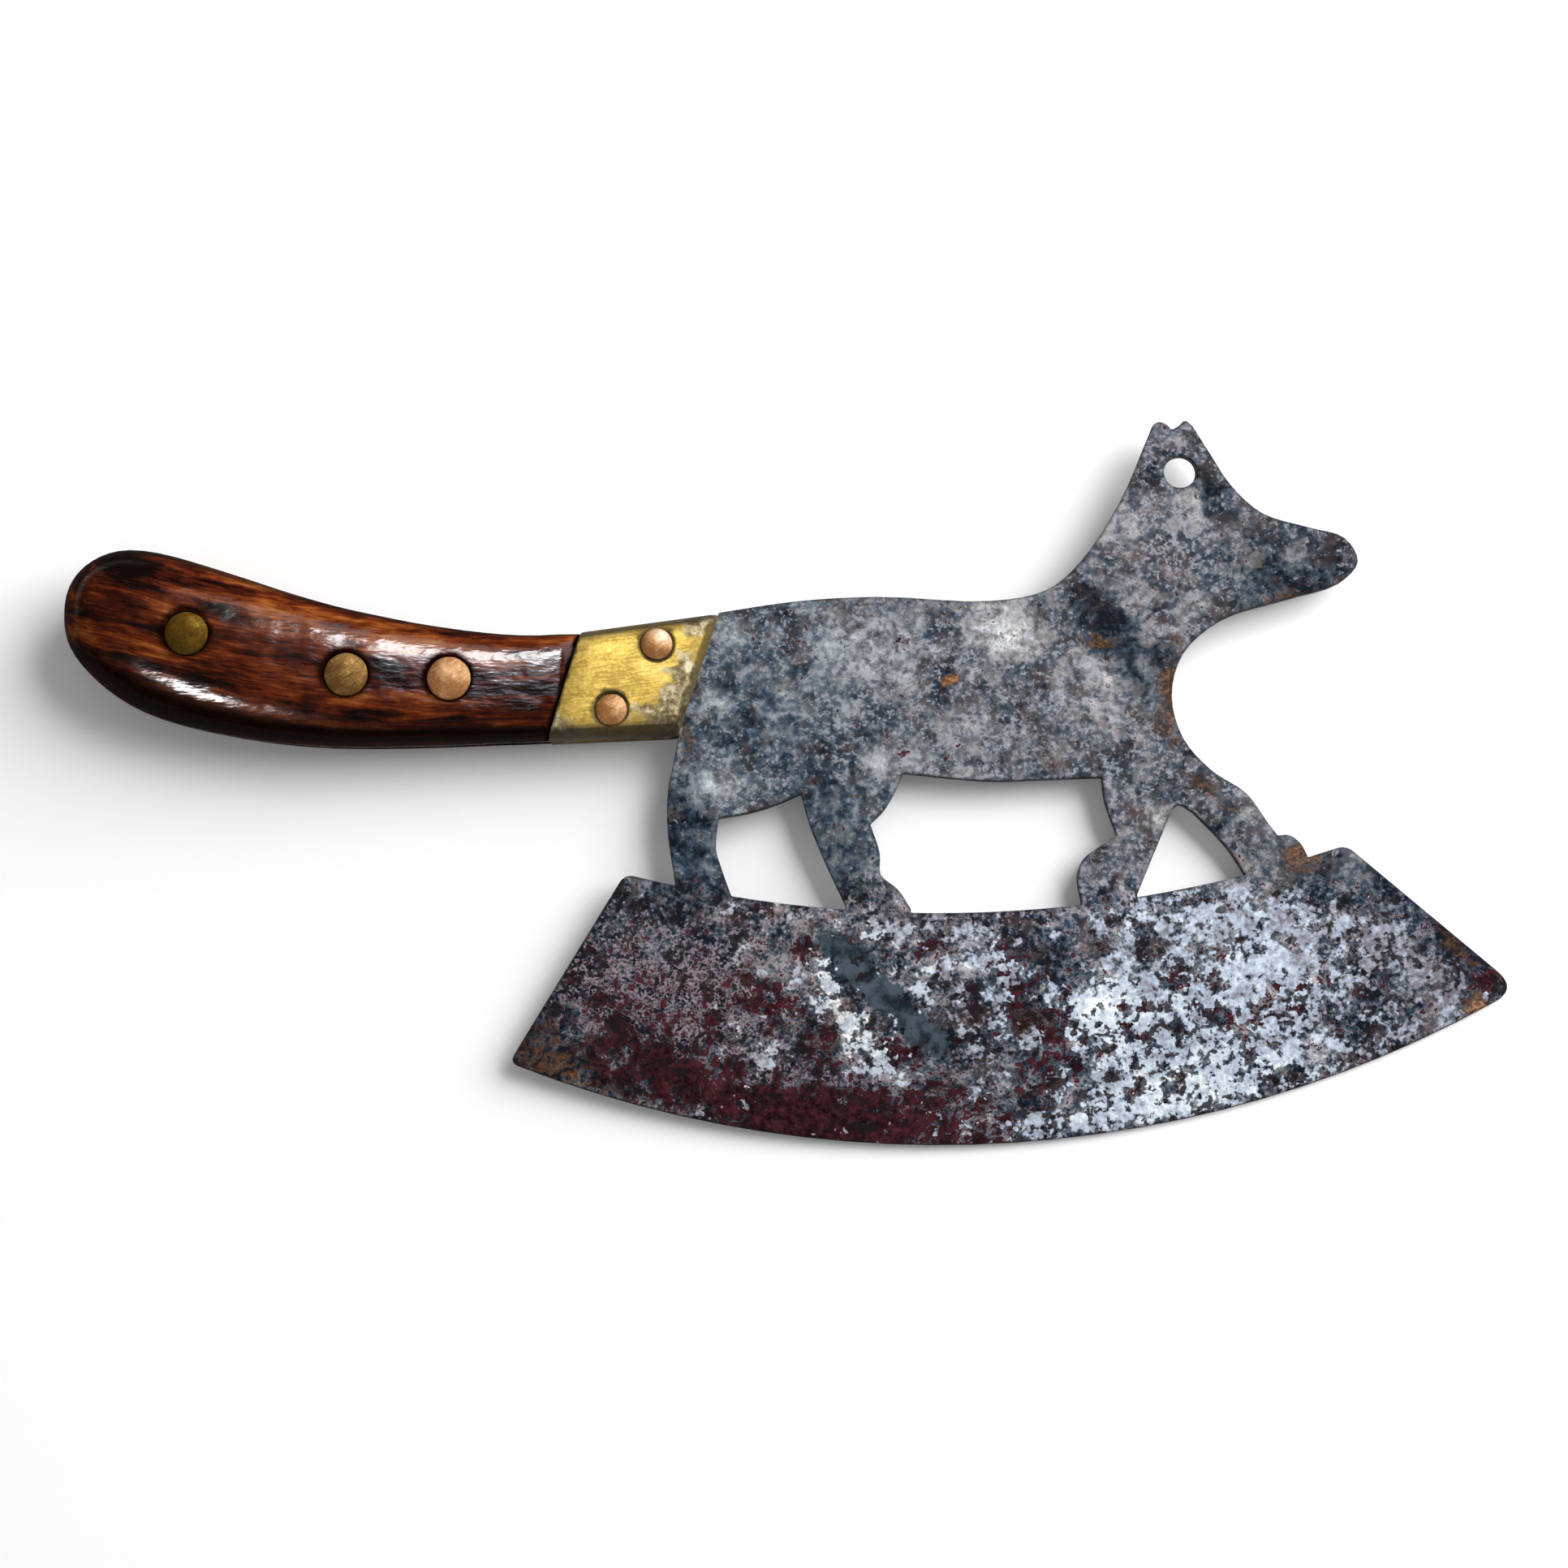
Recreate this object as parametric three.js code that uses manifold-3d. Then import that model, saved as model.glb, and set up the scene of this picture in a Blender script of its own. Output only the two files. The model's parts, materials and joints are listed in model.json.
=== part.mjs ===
// Herb chopper: a walking fox cut from one steel sheet stands on its crescent blade.
// The fox's tail is the handle: two wooden scales and two brass bolster cheeks, riveted
// through the sheet's tang. Millimetres, +Z up. The chopper lies on its rear side, as it
// does on a table, on the rear heads of its rivets and the rear of its cutting edge.
import * as THREE from 'three';
import { mergeVertices } from 'three/addons/utils/BufferGeometryUtils.js';
import Module from 'manifold-3d';

const wasm = await Module();
wasm.setup();

// Steel sheet, with a hanging hole set forward of and below the notch between the fox's ears
const sheetThickness = 2.4;
const hangingHoleDiameter = 7;
const hangingHoleForward = 1.6;
const hangingHoleDrop = 9.4;

// Fox's legs, from the hip line down to its lowest claw, and how its feet stand in the blade
const hipLine = -22;
const legLength = 28.6;
const clawRise = 0.8;
const footSink = 5;

// Crescent blade, measured from its own upright axis
const bladeAxis = 51;
const bladeDepth = 49;
const edgeRadius = 247;
const heelReach = 90.8;
const toeReach = 123.2;
const edgeThickness = 0.5;
const grindWidth = 6;
const backRadius = 269;
const heelShoulderReach = 66.6;
const toeShoulderReach = 87.3;
const shoulderRounding = 2.2;
const heelRounding = 2;
const toeRounding = 5.5;

// Wooden scales
const crownAtButt = 8.8;
const crownAtBolster = 5.8;
const buttRounding = 13;
const sectionPowerAtButt = 2.4;
const sectionPowerAtBolster = 5;

// Brass bolster cheeks
const bolsterChamfer = 1.6;

// Rivets
const scaleRivetHeadDiameter = 9.4;
const scaleRivetShankDiameter = 4.6;
const bolsterRivetHeadDiameter = 6.9;
const bolsterRivetShankDiameter = 3.8;
const headSink = 0.8;
const headDome = 0.55;

// Fits
const seatGap = 0.1;
const jointGap = 0.1;
const rivetClearance = 0.12;
const tangInset = 0.3;

// How finely round stretches are cut
const strokeSteps = 4;
const arcSteps = 12;
const discSteps = 240;
const holeSteps = 48;
const gripRows = 30;
const buttFacetRows = 0.1;
const bolsterRows = 3;
const sectionSteps = 18;
const rivetSteps = 20;
const domeSteps = 3;
const settleRounds = 20;
const halvings = 40;

// The fox, drawn as one outline in strokes from the bolster along the back to the muzzle and
// round the legs. The drawing's 0, 0 lies on the bolster's front end, near its middle. A foot is
// drawn by its two ends, from which it runs straight down into the blade.
const foxStrokes = {
  back: [[4.3, 13.5], [21, 16], [38.5, 17], [63, 16.1], [75, 18.5], [82.2, 24.4], [91.2, 38], [98.6, 55]],
  firstEar: [[98.6, 55], [99.8, 55.6], [101.3, 55.2], [102.7, 53.9]],
  secondEar: [[102.7, 53.9], [104.1, 54.7], [105.6, 55.9], [107.2, 54.7]],
  faceToChest: [
    [107.2, 54.7], [111, 48.4], [115.2, 41.7], [122, 35.4], [131.5, 32.4], [139.7, 29.9], [142.4, 24.7],
    [138.3, 20.1], [126, 16.3], [112.7, 12], [104.2, 4.4], [101.7, -4.7],
    [104, -13.8], [110, -20.8], [117.3, -25.7], [121.6, -31.8], [123.8, -34.8],
  ],
  forePaw: [[123.8, -34.8], [126.2, -34.7], [128.6, -36.4], [130.1, -39.3]],
  foreFoot: [[130.1, -39.3], [116.7, -43.2]],
  foreLegRear: [[116.7, -43.2], [112.8, -37.2], [106, -29.9]],
  foreFork: [[106, -29.9], [103, -28.2], [101.3, -29.3]],
  secondForeLegFront: [[101.3, -29.3], [93.6, -47.4]],
  secondForeFoot: [[93.6, -47.4], [81.7, -49]],
  secondForePaw: [[81.7, -49], [80.9, -43.5], [82.4, -39.7], [85.9, -37.1], [89.5, -34.8]],
  secondForeLegRear: [[89.5, -34.8], [87.9, -30.4], [86.9, -27], [86.4, -22.3]],
  belly: [[86.4, -22.3], [73, -22.8], [62.5, -23.1], [43.9, -21.4]],
  hindThigh: [[43.9, -21.4], [42, -25.6], [39.9, -29.2], [36.8, -32.4]],
  hindLegFront: [[36.8, -32.4], [38.8, -38.6], [39, -43.2], [42.6, -46.3], [45.4, -50.6]],
  hindFoot: [[45.4, -50.6], [31.5, -49.9]],
  hindLegRear: [[31.5, -49.9], [27.7, -41.8], [23.9, -32.7], [22, -25.9]],
  groin: [[22, -25.9], [16.4, -28.3], [10.4, -30.1], [4.3, -31.1]],
  secondHindLegFront: [[4.3, -31.1], [3.8, -37.4], [5, -41.8], [7.3, -48.2]],
  secondHindFoot: [[7.3, -48.2], [-4.9, -44.9]],
  rump: [[-4.9, -44.9], [-6.5, -33.9], [-6.5, -25.2], [-5.3, -19.1], [-4.3, -13.5]],
};

// The wooden grip's outline, from its lower corner at the bolster round the butt to its upper one.
// Points that lie as far from the butt's end face each other across the grip.
const gripOutline = [
  [-32, -14.7], [-42, -15], [-57.5, -15.7], [-82, -15.7], [-107.5, -12.1], [-121.4, -7.3], [-130.3, -0.8],
  [-135.6, 6.1], [-136.9, 13], [-135.5, 19.8],
  [-131.2, 24.3], [-123, 26.8], [-109, 23.9], [-80.8, 14.8], [-52.7, 9.5], [-35.2, 8.1], [-25.1, 8.8],
];

// The bolster's front corners; its rear ones are the grip's ends
const bolsterFrontTop = [4.3, 12.9];
const bolsterFrontBottom = [-4.3, -13.5];

// Rivets, each by its distance back from the drawing's 0, 0 and its height over the handle's
// middle line
const scaleRivets = {
  butt_rivet: { back: 108.7, rise: 1.5 },
  middle_rivet: { back: 74.8, rise: 0.3 },
  neck_rivet: { back: 53, rise: 1.4 },
};
const bolsterRivets = {
  upper_bolster_rivet: { back: 8.8, rise: 7.3 },
  lower_bolster_rivet: { back: 18.4, rise: -7 },
};

const finish = {
  steel: { color: 0x6f7580, roughness: 0.55, metalness: 0.85 },
  wood: { color: 0x4a2413, roughness: 0.3, metalness: 0 },
  brass: { color: 0xc9a93f, roughness: 0.38, metalness: 0.9 },
  oliveBrass: { color: 0x7d6a2c, roughness: 0.4, metalness: 0.9 },
  copper: { color: 0xc07a4d, roughness: 0.35, metalness: 0.9 },
};

// A closed geometry as a solid that can be joined and cut
function solidOf(geometry) {
  geometry.deleteAttribute('normal');
  geometry.deleteAttribute('uv');
  const merged = mergeVertices(geometry);
  const vertProperties = new Float32Array(merged.attributes.position.array);
  const triVerts = new Uint32Array(merged.index.array);
  return new wasm.Manifold(new wasm.Mesh({ numProp: 3, vertProperties, triVerts }));
}

// A solid as a named mesh with its finish
function meshOf(name, solid, look) {
  const { vertProperties, triVerts } = solid.getMesh();
  const geometry = new THREE.BufferGeometry();
  geometry.setAttribute('position', new THREE.BufferAttribute(vertProperties, 3));
  geometry.setIndex(new THREE.BufferAttribute(triVerts, 1));
  geometry.computeVertexNormals();
  const mesh = new THREE.Mesh(geometry, new THREE.MeshStandardMaterial(look));
  mesh.name = name;
  return mesh;
}

// A sheet of the plate's thickness with this outline, halved by z = 0
function sheetOf(shape) {
  const geometry = new THREE.ExtrudeGeometry(shape, {
    depth: sheetThickness,
    bevelEnabled: false,
    curveSegments: arcSteps,
  });
  geometry.translate(0, 0, -sheetThickness / 2);
  return solidOf(geometry);
}

// A turned solid about the Z axis through a point, from a profile of radius and height
function turned(profile, centre, steps) {
  const points = profile.map(([radius, height]) => new THREE.Vector2(radius, height));
  const geometry = new THREE.LatheGeometry(points, steps);
  geometry.rotateX(Math.PI / 2);
  geometry.translate(centre.x, centre.y, 0);
  return solidOf(geometry);
}

// A smooth curve through drawn points
function drawnCurve(points) {
  const corners = points.map(([x, y]) => new THREE.Vector3(x, y, 0));
  return new THREE.CatmullRomCurve3(corners, false, 'centripetal');
}

// Blade heights, which follow from the fox that stands on it
const backLowest = hipLine - legLength - clawRise;
const edgeLowest = backLowest - bladeDepth;
const sole = backLowest - footSink;

// A point of the fox with its drawn legs brought to their length
const drawnHeights = Object.values(foxStrokes).flat().map(([, y]) => y);
const drawnLegLength = hipLine - Math.min(...drawnHeights);
function standing([x, y]) {
  return [x, Math.max(y, hipLine) + Math.min(y - hipLine, 0) * legLength / drawnLegLength];
}

// Fox outline
function foxShape() {
  const outline = [];
  for (const [name, stroke] of Object.entries(foxStrokes)) {
    const points = stroke.map(standing);
    if (name.endsWith('Foot')) {
      const [[toe, toeHeight], [heel]] = points;
      const corners = [[toe, toeHeight], [toe, sole], [heel, sole]];
      outline.push(...corners.map(([x, y]) => new THREE.Vector2(x, y)));
    } else {
      const curve = drawnCurve(points).getPoints((points.length - 1) * strokeSteps);
      outline.push(...curve.slice(0, -1).map(({ x, y }) => new THREE.Vector2(x, y)));
    }
  }
  outline.push(new THREE.Vector2(...bolsterFrontBottom));
  return new THREE.Shape(outline);
}

// Crescent outline: two arcs about the blade's axis, joined by straight ends with round corners
function crescentShape() {
  const edgeCentre = new THREE.Vector2(bladeAxis, edgeLowest + edgeRadius);
  const backCentre = new THREE.Vector2(bladeAxis, backLowest + backRadius);
  const onArc = (centre, radius, angle) => new THREE.Vector2(
    centre.x + radius * Math.sin(angle),
    centre.y - radius * Math.cos(angle),
  );
  const down = -Math.PI / 2;
  const heelAngle = -Math.asin(heelReach / edgeRadius);
  const toeAngle = Math.asin(toeReach / edgeRadius);
  const heelShoulderAngle = -Math.asin(heelShoulderReach / backRadius);
  const toeShoulderAngle = Math.asin(toeShoulderReach / backRadius);
  const heel = onArc(edgeCentre, edgeRadius, heelAngle);
  const toe = onArc(edgeCentre, edgeRadius, toeAngle);
  const heelShoulder = onArc(backCentre, backRadius, heelShoulderAngle);
  const toeShoulder = onArc(backCentre, backRadius, toeShoulderAngle);
  const towards = (from, to, distance) => to.clone().sub(from).setLength(distance).add(from);
  const edgeStart = heelAngle + heelRounding / edgeRadius;
  const edgeEnd = toeAngle - toeRounding / edgeRadius;
  const backStart = toeShoulderAngle - shoulderRounding / backRadius;
  const backEnd = heelShoulderAngle + shoulderRounding / backRadius;
  const start = towards(heelShoulder, heel, shoulderRounding);
  const heelEnd = towards(heel, heelShoulder, heelRounding);
  const afterHeel = onArc(edgeCentre, edgeRadius, edgeStart);
  const toeEnd = towards(toe, toeShoulder, toeRounding);
  const beforeShoulder = towards(toeShoulder, toe, shoulderRounding);
  const afterShoulder = onArc(backCentre, backRadius, backStart);

  const shape = new THREE.Shape();
  shape.moveTo(start.x, start.y);
  shape.lineTo(heelEnd.x, heelEnd.y);
  shape.quadraticCurveTo(heel.x, heel.y, afterHeel.x, afterHeel.y);
  shape.absarc(edgeCentre.x, edgeCentre.y, edgeRadius, down + edgeStart, down + edgeEnd, false);
  shape.quadraticCurveTo(toe.x, toe.y, toeEnd.x, toeEnd.y);
  shape.lineTo(beforeShoulder.x, beforeShoulder.y);
  shape.quadraticCurveTo(toeShoulder.x, toeShoulder.y, afterShoulder.x, afterShoulder.y);
  shape.absarc(backCentre.x, backCentre.y, backRadius, down + backStart, down + backEnd, true);
  shape.quadraticCurveTo(heelShoulder.x, heelShoulder.y, start.x, start.y);
  return shape;
}

// A disc that is full thickness but for its ground rim; inside it the crescent gets its edge
function groundDisc() {
  const full = sheetThickness / 2;
  const rim = edgeThickness / 2;
  const overrun = rim / 2 * grindWidth / (full - rim);
  const profile = [
    [0, -full],
    [edgeRadius - grindWidth, -full],
    [edgeRadius + overrun, -rim / 2],
    [edgeRadius + overrun, rim / 2],
    [edgeRadius - grindWidth, full],
    [0, full],
  ];
  return turned(profile, new THREE.Vector2(bladeAxis, edgeLowest + edgeRadius), discSteps);
}

// Handle sections: the pair of facing edge points, the crown over the seat and the section's
// squareness. The grip's share runs from 0 at the butt to 1 at the bolster.
const gripCurve = drawnCurve(gripOutline);
const buttEnd = gripCurve.getPoint(0.5);
const gripTop = gripCurve.getPoint(1);
const gripBottom = gripCurve.getPoint(0);
const gripLength = (gripTop.x + gripBottom.x) / 2 - buttEnd.x;

function sectionBetween(top, bottom) {
  const middle = top.clone().add(bottom).multiplyScalar(0.5);
  const half = top.distanceTo(bottom) / 2;
  const across = top.clone().sub(bottom).normalize();
  return { middle, half, across };
}

function gripSection(share) {
  const section = sectionBetween(gripCurve.getPoint(0.5 + share / 2), gripCurve.getPoint(0.5 - share / 2));
  const fromButt = section.middle.x - buttEnd.x;
  const along = THREE.MathUtils.smoothstep(fromButt, 0, gripLength);
  const body = THREE.MathUtils.lerp(crownAtButt, crownAtBolster, along);
  const shortOfRound = Math.max(0, 1 - fromButt / buttRounding);
  section.crown = body * Math.sqrt(1 - shortOfRound * shortOfRound);
  section.power = THREE.MathUtils.lerp(sectionPowerAtButt, sectionPowerAtBolster, along);
  return section;
}

function bolsterSection(share, crown) {
  const top = gripTop.clone().lerp(new THREE.Vector3(...bolsterFrontTop, 0), share);
  const bottom = gripBottom.clone().lerp(new THREE.Vector3(...bolsterFrontBottom, 0), share);
  const section = sectionBetween(top, bottom);
  section.crown = crown;
  section.power = sectionPowerAtBolster;
  return section;
}

// Height of a section's surface over the seat, at a distance from its middle
function surfaceOver(section, offset) {
  const share = Math.min(1, Math.abs(offset) / section.half);
  return section.crown * Math.pow(1 - Math.pow(share, section.power), 1 / section.power);
}

// A half handle lofted over its flat seat through sections
function loft(sections) {
  const seat = sheetThickness / 2 + seatGap;
  const positions = [];
  const index = [];
  for (const { middle, half, across, crown, power } of sections) {
    for (let step = 0; step <= sectionSteps; step += 1) {
      const angle = Math.PI * step / sectionSteps;
      const cosine = Math.cos(angle);
      const offset = half * Math.sign(cosine) * Math.pow(Math.abs(cosine), 2 / power);
      const height = crown * Math.pow(Math.max(0, Math.sin(angle)), 2 / power);
      const rim = step === 0 || step === sectionSteps;
      positions.push(middle.x + across.x * offset, middle.y + across.y * offset, seat + (rim ? 0 : height));
    }
  }
  const ring = sectionSteps + 1;
  const quad = (a, b, c, d) => index.push(a, b, c, a, c, d);
  for (let row = 0; row + 1 < sections.length; row += 1) {
    const here = row * ring;
    const next = here + ring;
    for (let step = 0; step < sectionSteps; step += 1) {
      quad(here + step, here + step + 1, next + step + 1, next + step);
    }
    quad(here + sectionSteps, here, next, next + sectionSteps);
  }
  const last = (sections.length - 1) * ring;
  for (let step = 1; step < sectionSteps; step += 1) {
    index.push(0, step + 1, step);
    index.push(last, last + step, last + step + 1);
  }
  const geometry = new THREE.BufferGeometry();
  geometry.setAttribute('position', new THREE.Float32BufferAttribute(positions, 3));
  geometry.setIndex(index);
  return solidOf(geometry);
}

// Tang: the handle's outline, drawn in a little so that the scales hide its edge
function tangShape() {
  const upper = [];
  const lower = [];
  const addPair = ({ middle, half, across }) => {
    const reach = half - tangInset;
    upper.push(new THREE.Vector2(middle.x + across.x * reach, middle.y + across.y * reach));
    lower.push(new THREE.Vector2(middle.x - across.x * reach, middle.y - across.y * reach));
  };
  for (let row = 1; row <= gripRows; row += 1) {
    addPair(gripSection(row / gripRows));
  }
  addPair(bolsterSection(1, crownAtBolster));
  return new THREE.Shape([...upper.reverse(), ...lower]);
}

// Where a rivet goes through the handle, and the handle's surface over the seat there
function rivetSeat(spot, sectionAt) {
  let near = 0;
  let far = 1;
  for (let halving = 0; halving < halvings; halving += 1) {
    const share = (near + far) / 2;
    const { middle, across } = sectionAt(share);
    if (middle.x + across.x * spot.rise < -spot.back) {
      near = share;
    } else {
      far = share;
    }
  }
  const section = sectionAt(near);
  const centre = section.middle.clone().addScaledVector(section.across, spot.rise);
  return { centre, surface: surfaceOver(section, spot.rise) };
}

// A rivet with a shank through the handle and a low domed head sunk into each side
function rivetSolid({ centre, surface }, headDiameter, shankDiameter) {
  const head = headDiameter / 2;
  const shank = shankDiameter / 2;
  const top = sheetThickness / 2 + seatGap + surface;
  const under = top - headSink;
  const upperHalf = [[shank, under], [head, under], [head, top]];
  for (let step = 1; step <= domeSteps; step += 1) {
    const share = step / domeSteps;
    upperHalf.push([head * Math.sqrt(1 - share), top + headDome * share]);
  }
  const lowerHalf = upperHalf.map(([radius, height]) => [radius, -height]).reverse();
  return turned([...lowerHalf, ...upperHalf], centre, rivetSteps);
}

// The hole for a rivet, larger by its clearance and open above the heads
function rivetHole({ centre, surface }, headDiameter, shankDiameter) {
  const head = headDiameter / 2 + rivetClearance;
  const shank = shankDiameter / 2 + rivetClearance;
  const top = sheetThickness / 2 + seatGap + surface;
  const under = top - headSink - seatGap;
  const clear = top + headDome + headSink;
  const upperHalf = [[shank, under], [head, under], [head, clear], [0, clear]];
  const lowerHalf = upperHalf.map(([radius, height]) => [radius, -height]).reverse();
  return turned([...lowerHalf, ...upperHalf], centre, rivetSteps);
}

// All rivets and their holes
const rivets = [];
function addRivets(spots, sectionAt, headDiameter, shankDiameter) {
  for (const [name, spot] of Object.entries(spots)) {
    const seat = rivetSeat(spot, sectionAt);
    rivets.push({
      name,
      seat,
      solid: rivetSolid(seat, headDiameter, shankDiameter),
      hole: rivetHole(seat, headDiameter, shankDiameter),
    });
  }
}
addRivets(scaleRivets, gripSection, scaleRivetHeadDiameter, scaleRivetShankDiameter);
addRivets(
  bolsterRivets,
  (share) => bolsterSection(share, crownAtBolster),
  bolsterRivetHeadDiameter,
  bolsterRivetShankDiameter,
);
const drilled = (solid) => rivets.reduce((rest, { hole }) => rest.subtract(hole), solid);

// Steel plate
function bladePlate() {
  const crescent = sheetOf(crescentShape()).intersect(groundDisc());
  const plate = sheetOf(foxShape()).add(crescent).add(sheetOf(tangShape()));
  const radius = hangingHoleDiameter / 2;
  const through = sheetThickness;
  const cutter = [[0, -through], [radius, -through], [radius, through], [0, through]];
  const [notchX, notchY] = foxStrokes.secondEar[0];
  const centre = new THREE.Vector2(notchX + hangingHoleForward, notchY - hangingHoleDrop);
  const hangingHole = turned(cutter, centre, holeSteps);
  return drilled(plate.subtract(hangingHole));
}

// Wooden scale, front side
function scale() {
  const sections = [];
  for (let row = 0; row <= gripRows; row += 1) {
    sections.push(gripSection(Math.max(row, buttFacetRows) / gripRows));
  }
  return drilled(loft(sections));
}

// Brass bolster cheek, front side, with its front edge chamfered down towards the steel
function bolsterCheek() {
  const length = -(gripTop.x + gripBottom.x) / 2;
  const first = jointGap / length;
  const shoulder = 1 - bolsterChamfer / length;
  const sections = [];
  for (let row = 0; row <= bolsterRows; row += 1) {
    const share = THREE.MathUtils.lerp(first, shoulder, row / bolsterRows);
    sections.push(bolsterSection(share, crownAtBolster));
  }
  sections.push(bolsterSection(1, crownAtBolster - bolsterChamfer));
  return drilled(loft(sections));
}

const behind = (solid) => solid.mirror([0, 0, 1]);

const chopper = new THREE.Group();
const frontScale = scale();
const frontBolster = bolsterCheek();
chopper.add(meshOf('blade_plate', bladePlate(), finish.steel));
chopper.add(meshOf('front_scale', frontScale, finish.wood));
chopper.add(meshOf('rear_scale', behind(frontScale), finish.wood));
chopper.add(meshOf('front_bolster', frontBolster, finish.brass));
chopper.add(meshOf('rear_bolster', behind(frontBolster), finish.brass));
for (const { name, solid } of rivets) {
  chopper.add(meshOf(name, solid, name === 'butt_rivet' ? finish.oliveBrass : finish.copper));
}

// The chopper lies on the rear heads of two rivets, and on its rear grind line where the sheet
// runs down to it most steeply. Turned about, the plane through those three is level.
function levelTurn() {
  const headTop = (name) => {
    const { centre, surface } = rivets.find((rivet) => rivet.name === name).seat;
    return new THREE.Vector3(centre.x, centre.y, -(sheetThickness / 2 + seatGap + surface + headDome));
  };
  const butt = headTop('butt_rivet');
  const bolster = headTop('lower_bolster_rivet');
  const grindRadius = edgeRadius - grindWidth;
  const up = new THREE.Vector3(0, 0, 1);
  let sweep = 0;
  for (let round = 0; round < settleRounds; round += 1) {
    const touch = new THREE.Vector3(
      bladeAxis + grindRadius * Math.sin(sweep),
      edgeLowest + edgeRadius - grindRadius * Math.cos(sweep),
      -sheetThickness / 2,
    );
    up.crossVectors(touch.sub(butt), bolster.clone().sub(butt)).normalize();
    sweep = Math.atan2(-up.x, up.y);
  }
  return new THREE.Quaternion().setFromUnitVectors(up, new THREE.Vector3(0, 0, 1));
}

// It stands on z = 0, with the middle of its box over the origin
chopper.quaternion.copy(levelTurn());
const box = new THREE.Box3().setFromObject(chopper, true);
const middle = box.getCenter(new THREE.Vector3());
chopper.position.set(-middle.x, -middle.y, -box.min.z);

export default chopper;
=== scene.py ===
# Herb chopper: an old steel fox on its crescent blade, with a riveted wooden tail for a handle.
import json
import math

import bmesh
import bpy
from mathutils import Matrix, Vector


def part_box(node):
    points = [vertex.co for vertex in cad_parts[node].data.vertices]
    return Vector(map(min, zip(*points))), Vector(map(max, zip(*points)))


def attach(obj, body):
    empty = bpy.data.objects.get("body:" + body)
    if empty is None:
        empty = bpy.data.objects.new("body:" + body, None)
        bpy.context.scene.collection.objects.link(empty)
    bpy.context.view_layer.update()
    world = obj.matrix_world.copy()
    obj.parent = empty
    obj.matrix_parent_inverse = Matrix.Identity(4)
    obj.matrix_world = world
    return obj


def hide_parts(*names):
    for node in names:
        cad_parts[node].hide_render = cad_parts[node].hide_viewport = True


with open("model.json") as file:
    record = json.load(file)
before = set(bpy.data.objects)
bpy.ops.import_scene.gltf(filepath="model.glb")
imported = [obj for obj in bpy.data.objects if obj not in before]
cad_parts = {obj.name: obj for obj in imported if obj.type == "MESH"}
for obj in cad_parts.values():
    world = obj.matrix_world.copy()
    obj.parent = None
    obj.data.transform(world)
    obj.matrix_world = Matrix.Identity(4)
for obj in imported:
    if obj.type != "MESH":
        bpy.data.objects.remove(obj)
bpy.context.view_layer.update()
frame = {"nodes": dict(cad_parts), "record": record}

MM = 0.001

# The chopper lies a little tilted on the table. Pieces are modelled flat, in millimetres from the
# bolster's front end, with the steel sheet halved by z = 0, and are then laid into the frame.
mounts = {mount["name"]: mount for mount in frame["record"]["mounts"]}
sheet_front = Vector(mounts["front_cheek"]["axis"]).normalized()
sheet_turn = Vector((0, 0, 1)).rotation_difference(sheet_front).to_matrix()
upper_rivet_drawn = Vector((-8.8, 5.644, 0))


def middle_of(node):
    low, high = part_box(node)
    return (low + high) / 2


drawing_origin = middle_of("upper_bolster_rivet") - sheet_turn @ (upper_rivet_drawn * MM)
drawing_place = Matrix.Translation(drawing_origin) @ sheet_turn.to_4x4()

# Sizes in millimetres
SEAT = 1.26
EDGE_SOFTENING = 0.22
WOOD_EDGE = 0.35
BRASS_EDGE = 0.3
BOLSTER_CHAMFER = 1.5
CHAMFER_START = 0.5
JOINT_GAP = 0.06
WELD = 0.04
SEAM = 0.002
ON_PLANE = 0.01

# Rivets and their holes, in millimetres, with shares of the head's radius
HOLE_CLEARANCE = 0.15
HOLE_FLARE = 0.8
FLARE_RISE = 0.4
DRILL_RISE = 3
DRILL_SPREAD = 1
HEAD_DEPTH = 0.8
HEAD_DOME = 0.6
DOME_SHARES = (0.3, 0.55, 0.75, 0.9)
DOME_POWER = 2.4
RIM_ROUNDING = ((0.985, 0.02), (1, 0.14))
SHANK_SHARE = 0.49
RING = 48

# Size and depth of the hollows that hand work leaves, in millimetres
WHITTLING = (16, 0.22)
HAMMERING = (2.2, 0.16)

# Angles in degrees: edges sharper than the first are softened, and those below the second shade smooth
SHEET_ANGLES = (35, 20)
HANDLE_ANGLES = (50, 35)
RIVET_SMOOTHING = 40
FLAT = 0.2

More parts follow.
